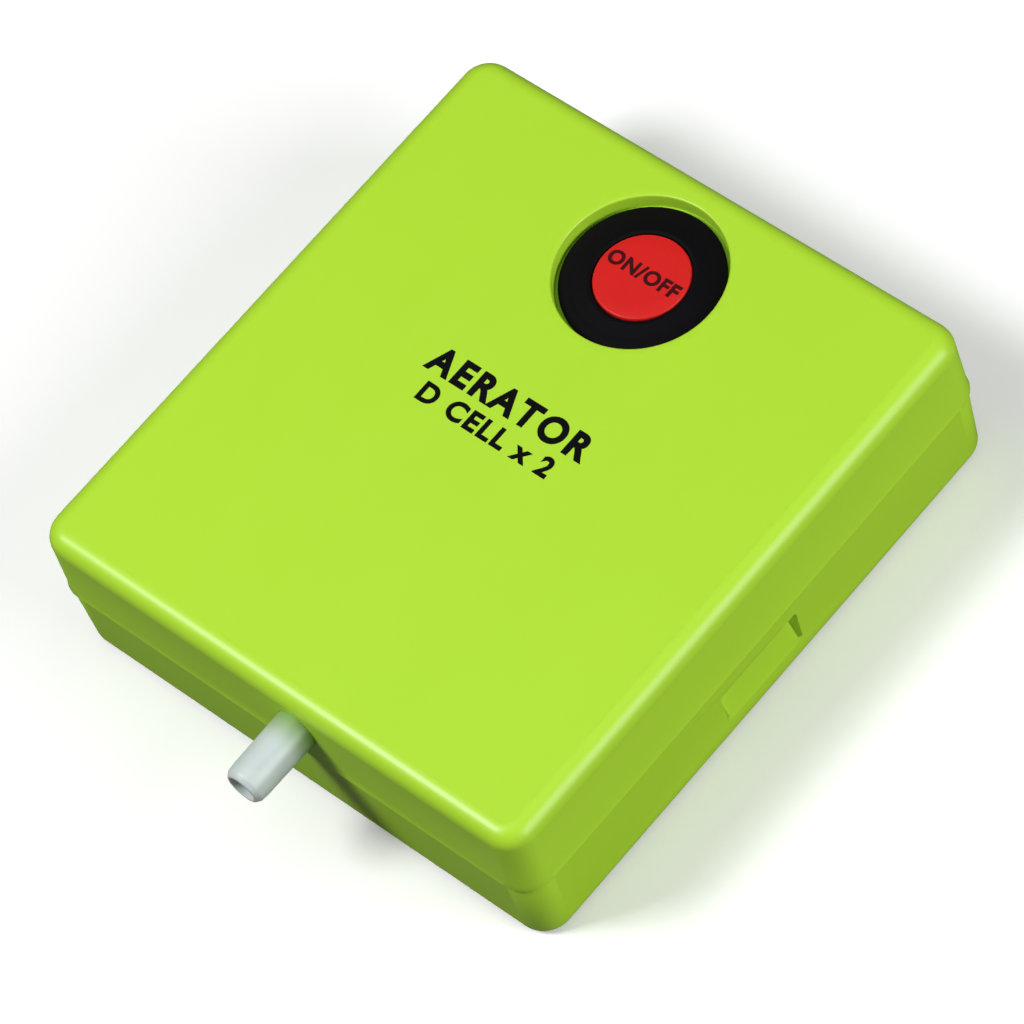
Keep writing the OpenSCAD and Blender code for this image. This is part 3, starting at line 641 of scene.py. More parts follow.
@dataclass
class TubShell:
    """A shallow tub with rounded corners, open at its rim, which both halves of the case are."""
    half_w: float
    half_d: float
    rim_z: float
    base_z: float
    corner_r: float = 6.3 * MM
    edge_r: float = 3.9 * MM
    wall: float = 2 * MM
    corner_segments: int = 12
    edge_segments: int = 8
    loop_in: float = 0.2 * MM
    large_flat: float = 150 * MM * MM

    @property
    def up(self) -> float:
        """1 where the base is above the rim, -1 where it is below."""
        return math.copysign(1.0, self.base_z - self.rim_z)

    def blank(self) -> bmesh.types.BMesh:
        """Makes the tub's outer skin, open at the rim.

        Returns:
            The new mesh.
        """
        bm = block((self.half_w, self.half_d), tuple(sorted((self.base_z, self.rim_z))))
        round_edges(bm, upright_edges(bm), self.corner_r, self.corner_segments)
        round_edges(bm, edges_where(bm, lambda p: near(p.z, self.base_z)), self.edge_r,
                    self.edge_segments)
        rim = [f for f in bm.faces if all(near(v.co.z, self.rim_z) for v in f.verts)]
        bmesh.ops.delete(bm, geom=rim, context="FACES_ONLY")
        return bm

    def frame_flats(self, bm: bmesh.types.BMesh) -> None:
        """Runs a narrow loop round each large flat face, so that its shading stays even."""
        flats = [f for f in bm.faces if f.calc_area() > self.large_flat]
        bmesh.ops.inset_individual(bm, faces=flats, thickness=self.loop_in, use_even_offset=True)

    def flat(self, bm: bmesh.types.BMesh, facing: Vector) -> bmesh.types.BMFace:
        """The largest face that looks in a direction."""
        return max((f for f in bm.faces if f.normal.dot(facing) > 0.99),
                   key=lambda f: f.calc_area())

    def fill_round(self, bm: bmesh.types.BMesh, face: bmesh.types.BMFace,
                   holes: Sequence[bmesh.types.BMEdge]) -> None:
        """Fills a flat face again round the edges of its holes.

        Args:
            bm: The mesh.
            face: The flat face, which is replaced.
            holes: The edges of all holes in it.
        """
        border = list(face.edges)
        normal = face.normal.copy()
        bmesh.ops.delete(bm, geom=[face], context="FACES_ONLY")
        bmesh.ops.triangle_fill(bm, use_beauty=True, use_dissolve=False, edges=border + list(holes),
                                normal=normal)

    def thicken(self, bm: bmesh.types.BMesh) -> None:
        """Turns the skin outwards and gives it its wall, on the inside.

        Args:
            bm: The skin.
        """
        bmesh.ops.remove_doubles(bm, verts=bm.verts, dist=TINY / 4)
        bmesh.ops.recalc_face_normals(bm, faces=bm.faces)
        base = max(bm.faces, key=lambda f: f.calc_center_median().z * self.up)
        if base.normal.z * self.up < 0:
            bmesh.ops.reverse_faces(bm, faces=bm.faces)
        bmesh.ops.solidify(bm, geom=bm.faces[:], thickness=self.wall)

    def lean(self, bm: bmesh.types.BMesh, rim_out: float) -> None:
        """Leans the walls outwards towards the rim.

        Args:
            bm: The mesh.
            rim_out: How far they stand out at the rim.
        """
        for v in bm.verts:
            share = (self.base_z - v.co.z) / (self.base_z - self.rim_z)
            if abs(v.co.x) > self.half_w - self.corner_r:
                v.co.x += math.copysign(rim_out * share, v.co.x)
            if abs(v.co.y) > self.half_d - self.corner_r:
                v.co.y += math.copysign(rim_out * share, v.co.y)

    def soften_rim(self, bm: bmesh.types.BMesh, radius: float) -> None:
        """Rounds the two edges of the rim.

        Args:
            bm: The mesh.
            radius: How much they are rounded.
        """
        edges = [e for e in edges_where(bm, lambda p: near(p.z, self.rim_z))
                 if len(e.link_faces) == 2 and e.calc_face_angle(0.0) > TRUE_EDGE]
        round_edges(bm, edges, radius, 2)


@dataclass
class Post:
    """A screw post under the ceiling, with a pilot hole in its end."""
    x: float
    y: float
    end_z: float
    top_z: float
    r: float = 3 * MM
    pilot_r: float = 1.1 * MM
    pilot_l: float = 9 * MM
    soft: float = 0.25 * MM

    def build(self, bm: bmesh.types.BMesh) -> None:
        """Turns the post.

        Args:
            bm: Mesh that it is added to.
        """
        up = self.top_z - self.end_z
        pilot = min(self.pilot_l, up - 0.5 * MM)
        turn(bm, [Corner(0, pilot), Corner(self.pilot_r, pilot), Corner(self.pilot_r, 0, 0.15 * MM),
                  Corner(self.r, 0, self.soft), Corner(self.r, up), Corner(0, up)],
             Axis.Z, Vector((self.x, self.y, self.end_z)), 40, closed=False)


@dataclass
class UpperShell:
    """The case's upper half, with the recess round the button and the nozzle's hole."""
    flare: float = 0.35 * MM
    lip_out: float = 0.3 * MM
    lip_h: float = 1.5 * MM
    print_gap: float = 0.04 * MM
    rim_z: float = 20.1 * MM
    recess_r: float = 18.2 * MM
    recess_depth: float = 3.9 * MM
    cup_hole_r: float = 12.45 * MM
    collar: float = 1.5 * MM
    nozzle_hole_r: float = 4.8 * MM
    nozzle_collar: float = 0.6 * MM
    sides: int = 96
    recess_soft: float = 0.45 * MM
    cup_hole_soft: float = 0.2 * MM
    rim_soft: float = 0.3 * MM
    post_r: float = 3 * MM
    switch_post_r: float = 3.2 * MM
    post_root: float = 0.5 * MM
    chassis_plate_t: float = 1.4 * MM

    def build(self) -> bpy.types.Object:
        """Models the shell.

        Returns:
            The piece.
        """
        low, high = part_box("upper_shell")
        top_z = high.z - self.print_gap
        out = self.flare + self.lip_out
        tub = TubShell(high.x - out, high.y - out, self.rim_z, top_z)
        bm = tub.blank()
        tub.frame_flats(bm)
        bmesh.ops.bisect_plane(bm, geom=bm.verts[:] + bm.edges[:] + bm.faces[:], dist=TINY,
                               plane_co=(0, 0, self.rim_z + self.lip_h), plane_no=(0, 0, 1))
        self.cut_recess(bm, tub, top_z)
        self.cut_nozzle_hole(bm, tub)
        tub.thicken(bm)
        self.push_lip(bm, tub)
        tub.lean(bm, self.flare)
        self.soften(bm, tub, top_z)
        self.add_posts(bm, top_z - tub.wall)
        return finish_piece("case_upper_shell", bm, Body.CASE, ["upper_shell"], LIME)

    def cut_recess(self, bm: bmesh.types.BMesh, tub: TubShell, top_z: float) -> None:
        """Sinks the button's recess into the top.

        Args:
            bm: The shell's skin.
            tub: The shell's sizes.
            top_z: Height of the top.
        """
        face = tub.flat(bm, Vector((0, 0, 1)))
        centre = Vector((*middle_of("button_cap").xy, top_z))
        floor = -self.recess_depth + self.print_gap
        fresh = turn(bm, [Corner(self.recess_r + self.collar, 0), Corner(self.recess_r, 0),
                          Corner(self.recess_r, floor), Corner(self.cup_hole_r, floor)],
                     Axis.Z, centre, self.sides, closed=False)
        outer = self.recess_r + self.collar
        ring = [v for v in fresh if near((v.co - centre).length, outer)]
        self.fill_from(bm, tub, face, ring)

    def cut_nozzle_hole(self, bm: bmesh.types.BMesh, tub: TubShell) -> None:
        """Cuts the nozzle's hole through the front wall.

        Args:
            bm: The shell's skin.
            tub: The shell's sizes.
        """
        face = tub.flat(bm, Vector((0, -1, 0)))
        centre = middle_of("outlet_nozzle")
        centre.y = -tub.half_d
        outer = self.nozzle_hole_r + self.nozzle_collar
        fresh = turn(bm, [Corner(outer, 0), Corner(self.nozzle_hole_r, 0)], Axis.Y, centre, 64,
                     closed=False)
        ring = [v for v in fresh if near((v.co - centre).length, outer)]
        self.fill_from(bm, tub, face, ring)

    def fill_from(self, bm: bmesh.types.BMesh, tub: TubShell, face: bmesh.types.BMFace,
                  ring: Sequence[bmesh.types.BMVert]) -> None:
        """Fills a face again round one closed ring of vertices.

        Args:
            bm: The mesh.
            tub: The shell's sizes.
            face: The flat face.
            ring: The ring's vertices.
        """
        known = set(ring)
        tub.fill_round(bm, face, [e for e in bm.edges if set(e.verts) <= known])

    def push_lip(self, bm: bmesh.types.BMesh, tub: TubShell) -> None:
        """Runs the outer wall out to the lip at the rim.

        Args:
            bm: The shell.
            tub: The shell's sizes.
        """
        for v in bm.verts:
            outward = self.from_corner(v.co, tub)
            rise = (v.co.z - self.rim_z) / self.lip_h
            if rise < 1 and near(outward.length, tub.corner_r, 0.1 * MM):
                v.co += outward.normalized() * (self.lip_out * (1 - rise))

    @staticmethod
    def from_corner(point: Vector, tub: TubShell) -> Vector:
        """Finds how far a point lies from the rectangle of the corners' centres.

        Args:
            point: The point.
            tub: The shell's sizes.

        Returns:
            The level vector to the point from the nearest point of the rectangle.
        """
        inner_x, inner_y = tub.half_w - tub.corner_r, tub.half_d - tub.corner_r
        return Vector((point.x - max(-inner_x, min(inner_x, point.x)),
                       point.y - max(-inner_y, min(inner_y, point.y)), 0))

    def soften(self, bm: bmesh.types.BMesh, tub: TubShell, top_z: float) -> None:
        """Rounds the rims of the recess and of the cup's hole, and the shell's own rim.

        Args:
            bm: The shell.
            tub: The shell's sizes.
            top_z: Height of the top.
        """
        centre = middle_of("button_cap").xy
        floor_z = top_z + self.print_gap - self.recess_depth
        rims = ((self.recess_r, top_z, self.recess_soft),
                (self.cup_hole_r, floor_z, self.cup_hole_soft))
        for radius, height, soft in rims:
            rim = edges_where(bm, lambda p: near(p.z, height)
                              and near((p.xy - centre).length, radius))
            round_edges(bm, rim, soft, 4)
        tub.soften_rim(bm, self.rim_soft)

    def add_posts(self, bm: bmesh.types.BMesh, ceiling_z: float) -> None:
        """Adds the posts that the chassis, the pump frame and the switch are screwed to.

        Args:
            bm: The shell.
            ceiling_z: Height of the ceiling.
        """
        cup_z = ceiling_z - self.recess_depth + self.print_gap
        chassis_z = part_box("chassis")[0].z + self.chassis_plate_t
        for node, r, seat_z, root_z in (
                ("chassis_screws", self.post_r, chassis_z, ceiling_z),
                ("frame_screws", self.post_r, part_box("pump_frame")[1].z, ceiling_z),
                ("switch_screws", self.switch_post_r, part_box("switch_body")[1].z, cup_z)):
            for low, high in screw_boxes(node):
                Post((low.x + high.x) / 2, (low.y + high.y) / 2, seat_z, root_z + self.post_root,
                     r).build(bm)


def screw_boxes(node: str) -> list[tuple[Vector, Vector]]:
    """Finds the box of each screw of a group.

    Args:
        node: The group's CAD node, whose screws are loose from each other.

    Returns:
        The lowest and highest corner of each screw, in order of place.
    """
    bm = bmesh.new()
    bm.from_mesh(frame["nodes"][node].data)
    bmesh.ops.remove_doubles(bm, verts=bm.verts, dist=TINY / 10)
    left = set(bm.verts)
    boxes = []
    while left:
        island, reached = [], [left.pop()]
        while reached:
            v = reached.pop()
            island.append(v.co.copy())
            for e in v.link_edges:
                other = e.other_vert(v)
                if other in left:
                    left.remove(other)
                    reached.append(other)
        boxes.append((Vector([min(p[i] for p in island) for i in range(3)]),
                      Vector([max(p[i] for p in island) for i in range(3)])))
    bm.free()
    return sorted(boxes, key=lambda box: tuple(round(c, 4) for c in box[0]))


@dataclass
class LowerCover:
    """The snap-off cover: a tub with a finger scoop in each side and air slots below the pump."""
    rim_z: float = 20 * MM
    draft: float = 0.4 * MM
    edge_r: float = 2.5 * MM
    scoop_l: float = 23.4 * MM
    scoop_top_z: float = 15.4 * MM
    scoop_low_z: float = 5.6 * MM
    scoop_depth: float = 2.4 * MM
    scoop_forward: float = 1.5 * MM
    scoop_back_h: float = 2.2 * MM
    scoop_draft: float = 1.0 * MM
    scoop_step: float = 0.3 * MM
    scoop_corner_r: float = 0.9 * MM
    scoop_least: float = 0.04
    scoop_soft: float = 0.35 * MM
    slot_l: float = 11 * MM
    slot_w: float = 1.6 * MM
    slot_pitch: float = 4 * MM
    slot_count: int = 5
    slot_x: float = 43.55 * MM
    slot_y: float = -18 * MM
    tongue_t: float = 1.2 * MM
    tongue_in: float = 2.1 * MM
    root_t: float = 2.2 * MM
    root_in: float = 1 * MM
    root_h: float = 4 * MM
    root_drop: float = 0.3 * MM
    rim_soft: float = 0.25 * MM

    def build(self) -> bpy.types.Object:
        """Models the cover.

        Returns:
            The piece.
        """
        low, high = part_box("lower_cover")
        tub = TubShell(high.x - self.draft, high.y - self.draft, self.rim_z, 0.0,
                       edge_r=self.edge_r, edge_segments=6)
        bm = tub.blank()
        tub.frame_flats(bm)
        for side in (-1, 1):
            self.cut_scoop(bm, tub, side)
        self.cut_slots(bm, tub)
        tub.thicken(bm)
        tub.lean(bm, self.draft)
        tub.soften_rim(bm, self.rim_soft)
        self.soften_scoops(bm, tub)
        self.add_tongue(bm, tub, high.z)
        return finish_piece("case_lower_cover", bm, Body.COVER, ["lower_cover"], LIME)

    def window(self, bm: bmesh.types.BMesh, size: tuple[float, float], place: Matrix,
               corner_r: float) -> bmesh.types.BMFace:
        """Adds one loose face with rounded corners.

        Args:
            bm: Mesh that it is added to.
            size: Its width and height.
            place: Where it goes, from the level plane.
            corner_r: Radius of its corners.

        Returns:
            The face.
        """
        verts = bmesh.ops.create_grid(bm, x_segments=1, y_segments=1, size=0.5)["verts"]
        bmesh.ops.scale(bm, vec=(size[0], size[1], 1), verts=verts)
        bmesh.ops.bevel(bm, geom=verts, offset=corner_r, offset_type="OFFSET", segments=4,
                        profile=0.5, affect="VERTICES", material=-1)
        face = max((f for f in bm.faces if not any(len(e.link_faces) > 1 for e in f.edges)
                    and abs(f.normal.z) > 0.99 and near(f.calc_center_median().length, 0, MM)),
                   key=lambda f: f.calc_area())
        bmesh.ops.transform(bm, matrix=place, verts=face.verts)
        return face

    def cut_scoop(self, bm: bmesh.types.BMesh, tub: TubShell, side: int) -> None:
        """Sinks a finger scoop into one side, which slopes in and up to an upright back.

        Args:
            bm: The cover's skin.
            tub: The cover's sizes.
            side: 1 for the right side and -1 for the left.
        """
        wall_face = tub.flat(bm, Vector((side, 0, 0)))
        middle = Vector((side * tub.half_w, -self.scoop_forward,
                         (self.scoop_top_z + self.scoop_low_z) / 2))
        stand = Matrix(((0, 0, side, 0), (1, 0, 0, 0), (0, 1, 0, 0), (0, 0, 0, 1)))
        size = (self.scoop_l, self.scoop_top_z - self.scoop_low_z)
        place = Matrix.Translation(middle) @ stand
        back_z = self.scoop_top_z - self.scoop_back_h
        mouth = self.split_window(bm, size, place, back_z)
        tub.fill_round(bm, wall_face, mouth)
        inner_size = (size[0] - 2 * self.scoop_draft, size[1] - self.scoop_step)
        inner = self.split_window(bm, inner_size, place, back_z)
        for v in {v for e in inner for v in e.verts}:
            rise = (v.co.z - self.scoop_low_z) / (back_z - self.scoop_low_z)
            v.co.x -= side * self.scoop_depth * max(self.scoop_least, min(1.0, rise))
        bmesh.ops.bridge_loops(bm, edges=mouth + inner)
        rim = {v for e in mouth for v in e.verts}
        lids = [f for f in bm.faces if set(f.verts) <= rim]
        bmesh.ops.delete(bm, geom=lids, context="FACES_ONLY")

    def split_window(self, bm: bmesh.types.BMesh, size: tuple[float, float], place: Matrix,
                     split_z: float) -> list[bmesh.types.BMEdge]:
        """Adds a window face that is cut in two at a height.

        Args:
            bm: Mesh that it is added to.
            size: Its width and height.
            place: Where it goes, from the level plane.
            split_z: Height of the cut.

        Returns:
            The edges of its outline.
        """
        face = self.window(bm, size, place, self.scoop_corner_r)
        cut = bmesh.ops.bisect_plane(bm, geom=[face, *face.edges, *face.verts], dist=TINY,
                                     plane_co=(0, 0, split_z), plane_no=(0, 0, 1))
        faces = [g for g in cut["geom"] if isinstance(g, bmesh.types.BMFace)]
        return [e for e in {e for f in faces for e in f.edges} if len(e.link_faces) == 1]

    def soften_scoops(self, bm: bmesh.types.BMesh, tub: TubShell) -> None:
        """Rounds the long upper edges of the scoops.

        Args:
            bm: The cover.
            tub: The cover's sizes.
        """
        deepest = tub.half_w - self.scoop_depth - 0.1 * MM
        edges = [e for e in edges_where(bm, lambda p: abs(p.x) > deepest
                                        and abs(p.y + self.scoop_forward) < self.scoop_l / 2 + TINY
                                        and self.scoop_low_z - TINY < p.z < self.scoop_top_z + TINY)
                 if len(e.link_faces) == 2 and e.calc_face_angle(0.0) > 0.9
                 and max(v.co.z for v in e.verts) > self.scoop_low_z + 2 * MM
                 and abs(e.verts[0].co.y - e.verts[1].co.y) > self.scoop_l / 2]
        round_edges(bm, edges, self.scoop_soft, 3)

    def cut_slots(self, bm: bmesh.types.BMesh, tub: TubShell) -> None:
        """Cuts the air slots into the underside.

        Args:
            bm: The cover's skin.
            tub: The cover's sizes.
        """
        base = tub.flat(bm, Vector((0, 0, -1)))
        rims = []
        faces = []
        for i in range(self.slot_count):
            y = self.slot_y + (i - (self.slot_count - 1) / 2) * self.slot_pitch
            face = self.window(bm, (self.slot_l, self.slot_w),
                               Matrix.Translation((self.slot_x, y, 0)), self.slot_w * 0.45)
            rims += list(face.edges)
            faces.append(face)
        tub.fill_round(bm, base, rims)
        bmesh.ops.delete(bm, geom=faces, context="FACES_ONLY")

    def add_tongue(self, bm: bmesh.types.BMesh, tub: TubShell, top_z: float) -> None:
        """Adds the upright tongue that goes up inside the upper shell, and its root.

        Args:
            bm: The cover.
            tub: The cover's sizes.
            top_z: Height of the tongue's top.
        """
        for inside, high_z, thick in ((self.tongue_in - self.draft, top_z, self.tongue_t),
                                      (self.root_in, self.rim_z - self.root_drop, self.root_t)):
            self.add_wall(bm, (tub.half_w - inside, tub.half_d - inside),
                          (self.rim_z - self.root_h, high_z), tub.corner_r - inside, thick)

    def add_wall(self, bm: bmesh.types.BMesh, half: tuple[float, float], span: tuple[float, float],
                 corner_r: float, thick: float) -> None:
        """Adds a closed upright wall with rounded corners in plan.

        Args:
            bm: Mesh that it is added to.
            half: Half its width and depth.
            span: Its lowest and highest height.
            corner_r: Radius of its corners.
            thick: Its thickness, inwards.
        """
        part = block(half, span)
        round_edges(part, upright_edges(part), corner_r, 8)
        ends = [f for f in part.faces if abs(f.normal.z) > 0.9]
        bmesh.ops.delete(part, geom=ends, context="FACES_ONLY")
        bmesh.ops.solidify(part, geom=part.faces[:], thickness=thick)
        top = [e for e in edges_where(part, lambda p: near(p.z, span[1]))
               if e.calc_face_angle(0.0) > TRUE_EDGE]
        round_edges(part, top, self.rim_soft, 2)
        join_into(bm, part)


# ---------------------------------------------------------------- button


@dataclass
class Button:
    """The rubber ring, the red cap inside it and the print on the cap."""
    edge_t: float = 1.4 * MM
    inner_t: float = 1.9 * MM
    inner_r: float = 10.45 * MM
    flange: float = 1.6 * MM
    flange_t: float = 1 * MM
    marking_size: tuple[float, float] = (18.0 * MM, 3.5 * MM)
    marking_back: float = 0.7 * MM
    sides: int = 96

    def build(self) -> list[bpy.types.Object]:
        """The ring, the cap and its print."""
        return [self.ring(), self.cap(), self.label()]

    def centre(self, z: float) -> Vector:
        """A point on the button's axis."""
        return Vector((*middle_of("button_cap").xy, z))

    def ring(self) -> bpy.types.Object:
        """Turns the rubber ring, highest round the cap.

        Returns:
            The piece.
        """
        low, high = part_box("button_ring")
        r = (high.x - low.x) / 2
        inner = self.inner_r
        bm = bmesh.new()
        turn(bm, [Corner(inner, 0), Corner(r - 0.1 * MM, 0, 0.1 * MM),
                  Corner(r, self.edge_t, 0.45 * MM), Corner(r - 3 * MM, self.edge_t + 0.12 * MM, 3 * MM),
                  Corner(inner + 0.8 * MM, self.inner_t, 0.8 * MM),
                  Corner(inner, self.inner_t - 0.1 * MM, 0.25 * MM)],
             Axis.Z, self.centre(low.z), self.sides)
        return finish_piece("rubber_ring", bm, Body.CASE, ["button_ring"], BLACK_RUBBER)

    def cap(self) -> bpy.types.Object:
        """Turns the red cap, a little domed, with the flange that holds it in.

        Returns:
            The piece.
        """
        low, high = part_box("button_cap")
        flange_r = (high.x - low.x) / 2
        r = flange_r - self.flange
        height = high.z - low.z
        bm = bmesh.new()
        turn(bm, [Corner(0, 0), Corner(flange_r, 0, 0.15 * MM),
                  Corner(flange_r, self.flange_t, 0.15 * MM),
                  Corner(r, self.flange_t, 0.15 * MM), Corner(r, height - 0.2 * MM, 0.45 * MM),
                  Corner(r * 0.7, height - 0.06 * MM, 8 * MM), Corner(0, height - 0.04 * MM)],
             Axis.Z, self.centre(low.z), self.sides, closed=False)
        return finish_piece("button_cap_top", bm, Body.BUTTON, ["button_cap"], RED_CAP)

    def label(self) -> bpy.types.Object:
        """Prints the switch's marking on the cap.

        Returns:
            The piece.
        """
        top = self.centre(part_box("button_cap")[1].z) + Vector((0, self.marking_back, 0))
        return Print("ON/OFF", self.marking_size, top, Body.BUTTON, DARK_RED_INK, boldness=0.036,
                     spacing=1.12).build("button_marking")


@dataclass
class Print:
    """One line of flat printed letters, cut from a thin sheet of ink; top is the middle of its
    upper face, and boldness and spacing are shares of a letter's height and width."""
    words: str
    size: tuple[float, float]
    top: Vector
    body: Body
    ink: Finish
    boldness: float
    spacing: float = 1.0
    thickness: float = 0.05 * MM

    def build(self, name: str) -> bpy.types.Object:
        """Makes the letters.

        Args:
            name: The piece's name.

        Returns:
            The piece.
        """
        curve = bpy.data.curves.new(name, "FONT")
        curve.body = self.words
        curve.offset = self.boldness
        curve.space_character = self.spacing
        curve.extrude = 0.5
        curve.resolution_u = 6
        text = bpy.data.objects.new(name + "_text", curve)
        bpy.context.scene.collection.objects.link(text)
        bpy.context.view_layer.update()
        bm = bmesh.new()
        bm.from_mesh(text.to_mesh())
        bpy.data.objects.remove(text)
        bmesh.ops.remove_doubles(bm, verts=bm.verts, dist=1e-5)
        low = Vector([min(v.co[i] for v in bm.verts) for i in range(3)])
        high = Vector([max(v.co[i] for v in bm.verts) for i in range(3)])
        bmesh.ops.translate(bm, vec=-(low + high) / 2, verts=bm.verts)
        bmesh.ops.scale(bm, verts=bm.verts, vec=(self.size[0] / (high.x - low.x),
                                                 self.size[1] / (high.y - low.y),
                                                 self.thickness / (high.z - low.z)))
        bmesh.ops.translate(bm, vec=self.top - Vector((0, 0, self.thickness / 2)), verts=bm.verts)
        return finish_piece(name, bm, self.body, [], self.ink)


@dataclass
class Title:
    """The two lines of print on the case's top."""
    sink: float = 0.005 * MM

    def build(self) -> None:
        """Prints both lines: their names, words, sizes, places, boldness and letter spacing."""
        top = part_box("upper_shell")[1].z - self.sink
        for name, words, size, place, boldness, spacing in (
                ("title_print", "AERATOR", (42 * MM, 6.4 * MM), (-1.8 * MM, 6.9 * MM), 0.042, 1.22),
                ("cell_print", "D CELL x 2", (34.7 * MM, 4.8 * MM), (-2 * MM, -0.5 * MM), 0.038,
                 1.16)):
            Print(words, size, Vector((*place, top)), Body.CASE, BLACK_INK, boldness,
                  spacing).build(name)


# ---------------------------------------------------------------- outlet


@dataclass
class Outlet:
    """The soft nozzle in the front wall."""
    bore_r: float = 3 * MM
    bore_l: float = 14 * MM
    tip_r: float = 4.56 * MM
    root_r: float = 4.7 * MM
    spigot_r: float = 2.1 * MM
    spigot_bore_r: float = 1.2 * MM
    flange_t: float = 1.6 * MM
    spigot_l: float = 7 * MM

    def build(self) -> bpy.types.Object:
        """Turns the nozzle.

        Returns:
            The piece.
        """
        low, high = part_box("outlet_nozzle")
        flange_r = (high.x - low.x) / 2
        length = high.y - low.y
        flange_end = length - self.spigot_l
        flange_start = flange_end - self.flange_t
        bm = bmesh.new()
        turn(bm, [Corner(self.bore_r, 0, 0.25 * MM), Corner(self.tip_r - 0.9 * MM, 0, 0.5 * MM),
                  Corner(self.tip_r - 0.15 * MM, 1.1 * MM, 1.3 * MM),
                  Corner(self.tip_r, 3 * MM, 3 * MM),
                  Corner(self.root_r, flange_start, 0.1 * MM),
                  Corner(flange_r, flange_start, 0.2 * MM),
                  Corner(flange_r, flange_end, 0.2 * MM),
                  Corner(self.spigot_r, flange_end, 0.3 * MM),
                  Corner(self.spigot_r, length, 0.3 * MM),
                  Corner(self.spigot_bore_r, length, 0.2 * MM),
                  Corner(self.spigot_bore_r, self.bore_l, 0.2 * MM),
                  Corner(self.bore_r, self.bore_l, 0.3 * MM)],
             Axis.Y, Vector(((low.x + high.x) / 2, low.y, (low.z + high.z) / 2)), 72)
        return finish_piece("nozzle", bm, Body.CASE, ["outlet_nozzle"], CLEAR_VINYL)


# ---------------------------------------------------------------- cells, springs and screws


@dataclass
class Cell:
    """One D cell in its printed sleeve, lying along Y with its raised end to the back."""
    node: str
    cap_r: float = 4.75 * MM
    cap_h: float = 1.5 * MM
    groove: float = 0.5 * MM

    def build(self) -> None:
        """Turns the can with its crimped ends, and its sleeve."""
        low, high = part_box(self.node)
        centre = Vector(((low.x + high.x) / 2, low.y, (low.z + high.z) / 2))
        r, length = (high.x - low.x) / 2, high.y - low.y
        body_l = length - self.cap_h
        crimp = r - 1.6 * MM
        bm = bmesh.new()
        turn(bm, [Corner(0, 0), Corner(0.55 * r, 0, 0.25 * MM),
                  Corner(0.58 * r, self.groove, 0.25 * MM),
                  Corner(crimp, self.groove, 0.3 * MM), Corner(r - 1 * MM, 0, 0.3 * MM),
                  Corner(r, 0.4 * MM, 0.5 * MM), Corner(r, body_l, 0.6 * MM),
                  Corner(crimp, body_l, 0.3 * MM),
                  Corner(crimp - 0.4 * MM, body_l - self.groove, 0.3 * MM),
                  Corner(self.cap_r, body_l - self.groove, 0.3 * MM),
                  Corner(self.cap_r - 0.2 * MM, length, 0.5 * MM), Corner(0, length)],
             Axis.Y, centre, 72, closed=False)
        finish_piece(self.node + "_can", bm, Body.CASE, [self.node], CELL_CAN)
        self.sleeve(centre, r)

    def sleeve(self, centre: Vector, can_r: float) -> None:
        """Turns the shrink sleeve, which laps over both shoulders of the can.

        Args:
            centre: Centre of the can's flat end.
            can_r: Radius of the can.
        """
        node = self.node + "_sleeve"
        low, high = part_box(node)
        r = (high.x - low.x) / 2
        bm = bmesh.new()
        turn(bm, [Corner(can_r, low.y - centre.y), Corner(r, low.y - centre.y, 0.08 * MM),
                  Corner(r, high.y - centre.y, 0.08 * MM), Corner(can_r, high.y - centre.y)],
             Axis.Y, centre, 72)
        finish_piece(node + "_label", bm, Body.CASE, [node], cell_label())


def cell_label() -> CellLabel:
    """The sleeves' finish, banded at the raised end of both cells."""
    tops = tuple(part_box(node)[1].y for node in ("front_cell_sleeve", "rear_cell_sleeve"))
    return CellLabel("cell_label", (0.03, 0.032, 0.036), 0.28, tops=tops)


@dataclass
class Coil:
    """A wire wound in turns about an axis, narrowing towards its far end."""
    start: Vector
    axis: Axis
    start_r: float
    end_r: float
    length: float
    wire_r: float
    turns: int
    steps: int = 26

    def build(self, bm: bmesh.types.BMesh) -> None:
        """Winds the coil: one ring of wire, carried round and along.

        Args:
            bm: Mesh that it is added to.
        """
        known = set(bm.verts)
        face_up = Matrix.Rotation(math.pi / 2 if self.axis is Axis.Z else 0.0, 4, "X")
        place = Matrix.Translation(self.start + self.axis.across * self.start_r) @ face_up
        ring = bmesh.ops.create_circle(bm, cap_ends=False, segments=10, radius=self.wire_r,
                                       matrix=place)["verts"]
        edges = list({e for v in ring for e in v.link_edges})
        count = self.turns * self.steps
        bmesh.ops.spin(bm, geom=ring + edges, cent=self.start, axis=self.axis.along,
                       dvec=self.axis.along * (self.length / count), angle=self.turns * math.tau,
                       steps=count, use_merge=False, use_duplicate=False)
        fresh = [v for v in bm.verts if v not in known]
        for v in fresh:
            along = (v.co - self.start).dot(self.axis.along)
            outward = v.co - self.start - self.axis.along * along
            v.co -= outward.normalized() * ((self.start_r - self.end_r) * along / self.length)
        ends = list({e for v in fresh for e in v.link_edges if e.is_boundary})
        bmesh.ops.holes_fill(bm, edges=ends, sides=0)
        bmesh.ops.recalc_face_normals(bm, faces=list({f for v in fresh for f in v.link_faces}))


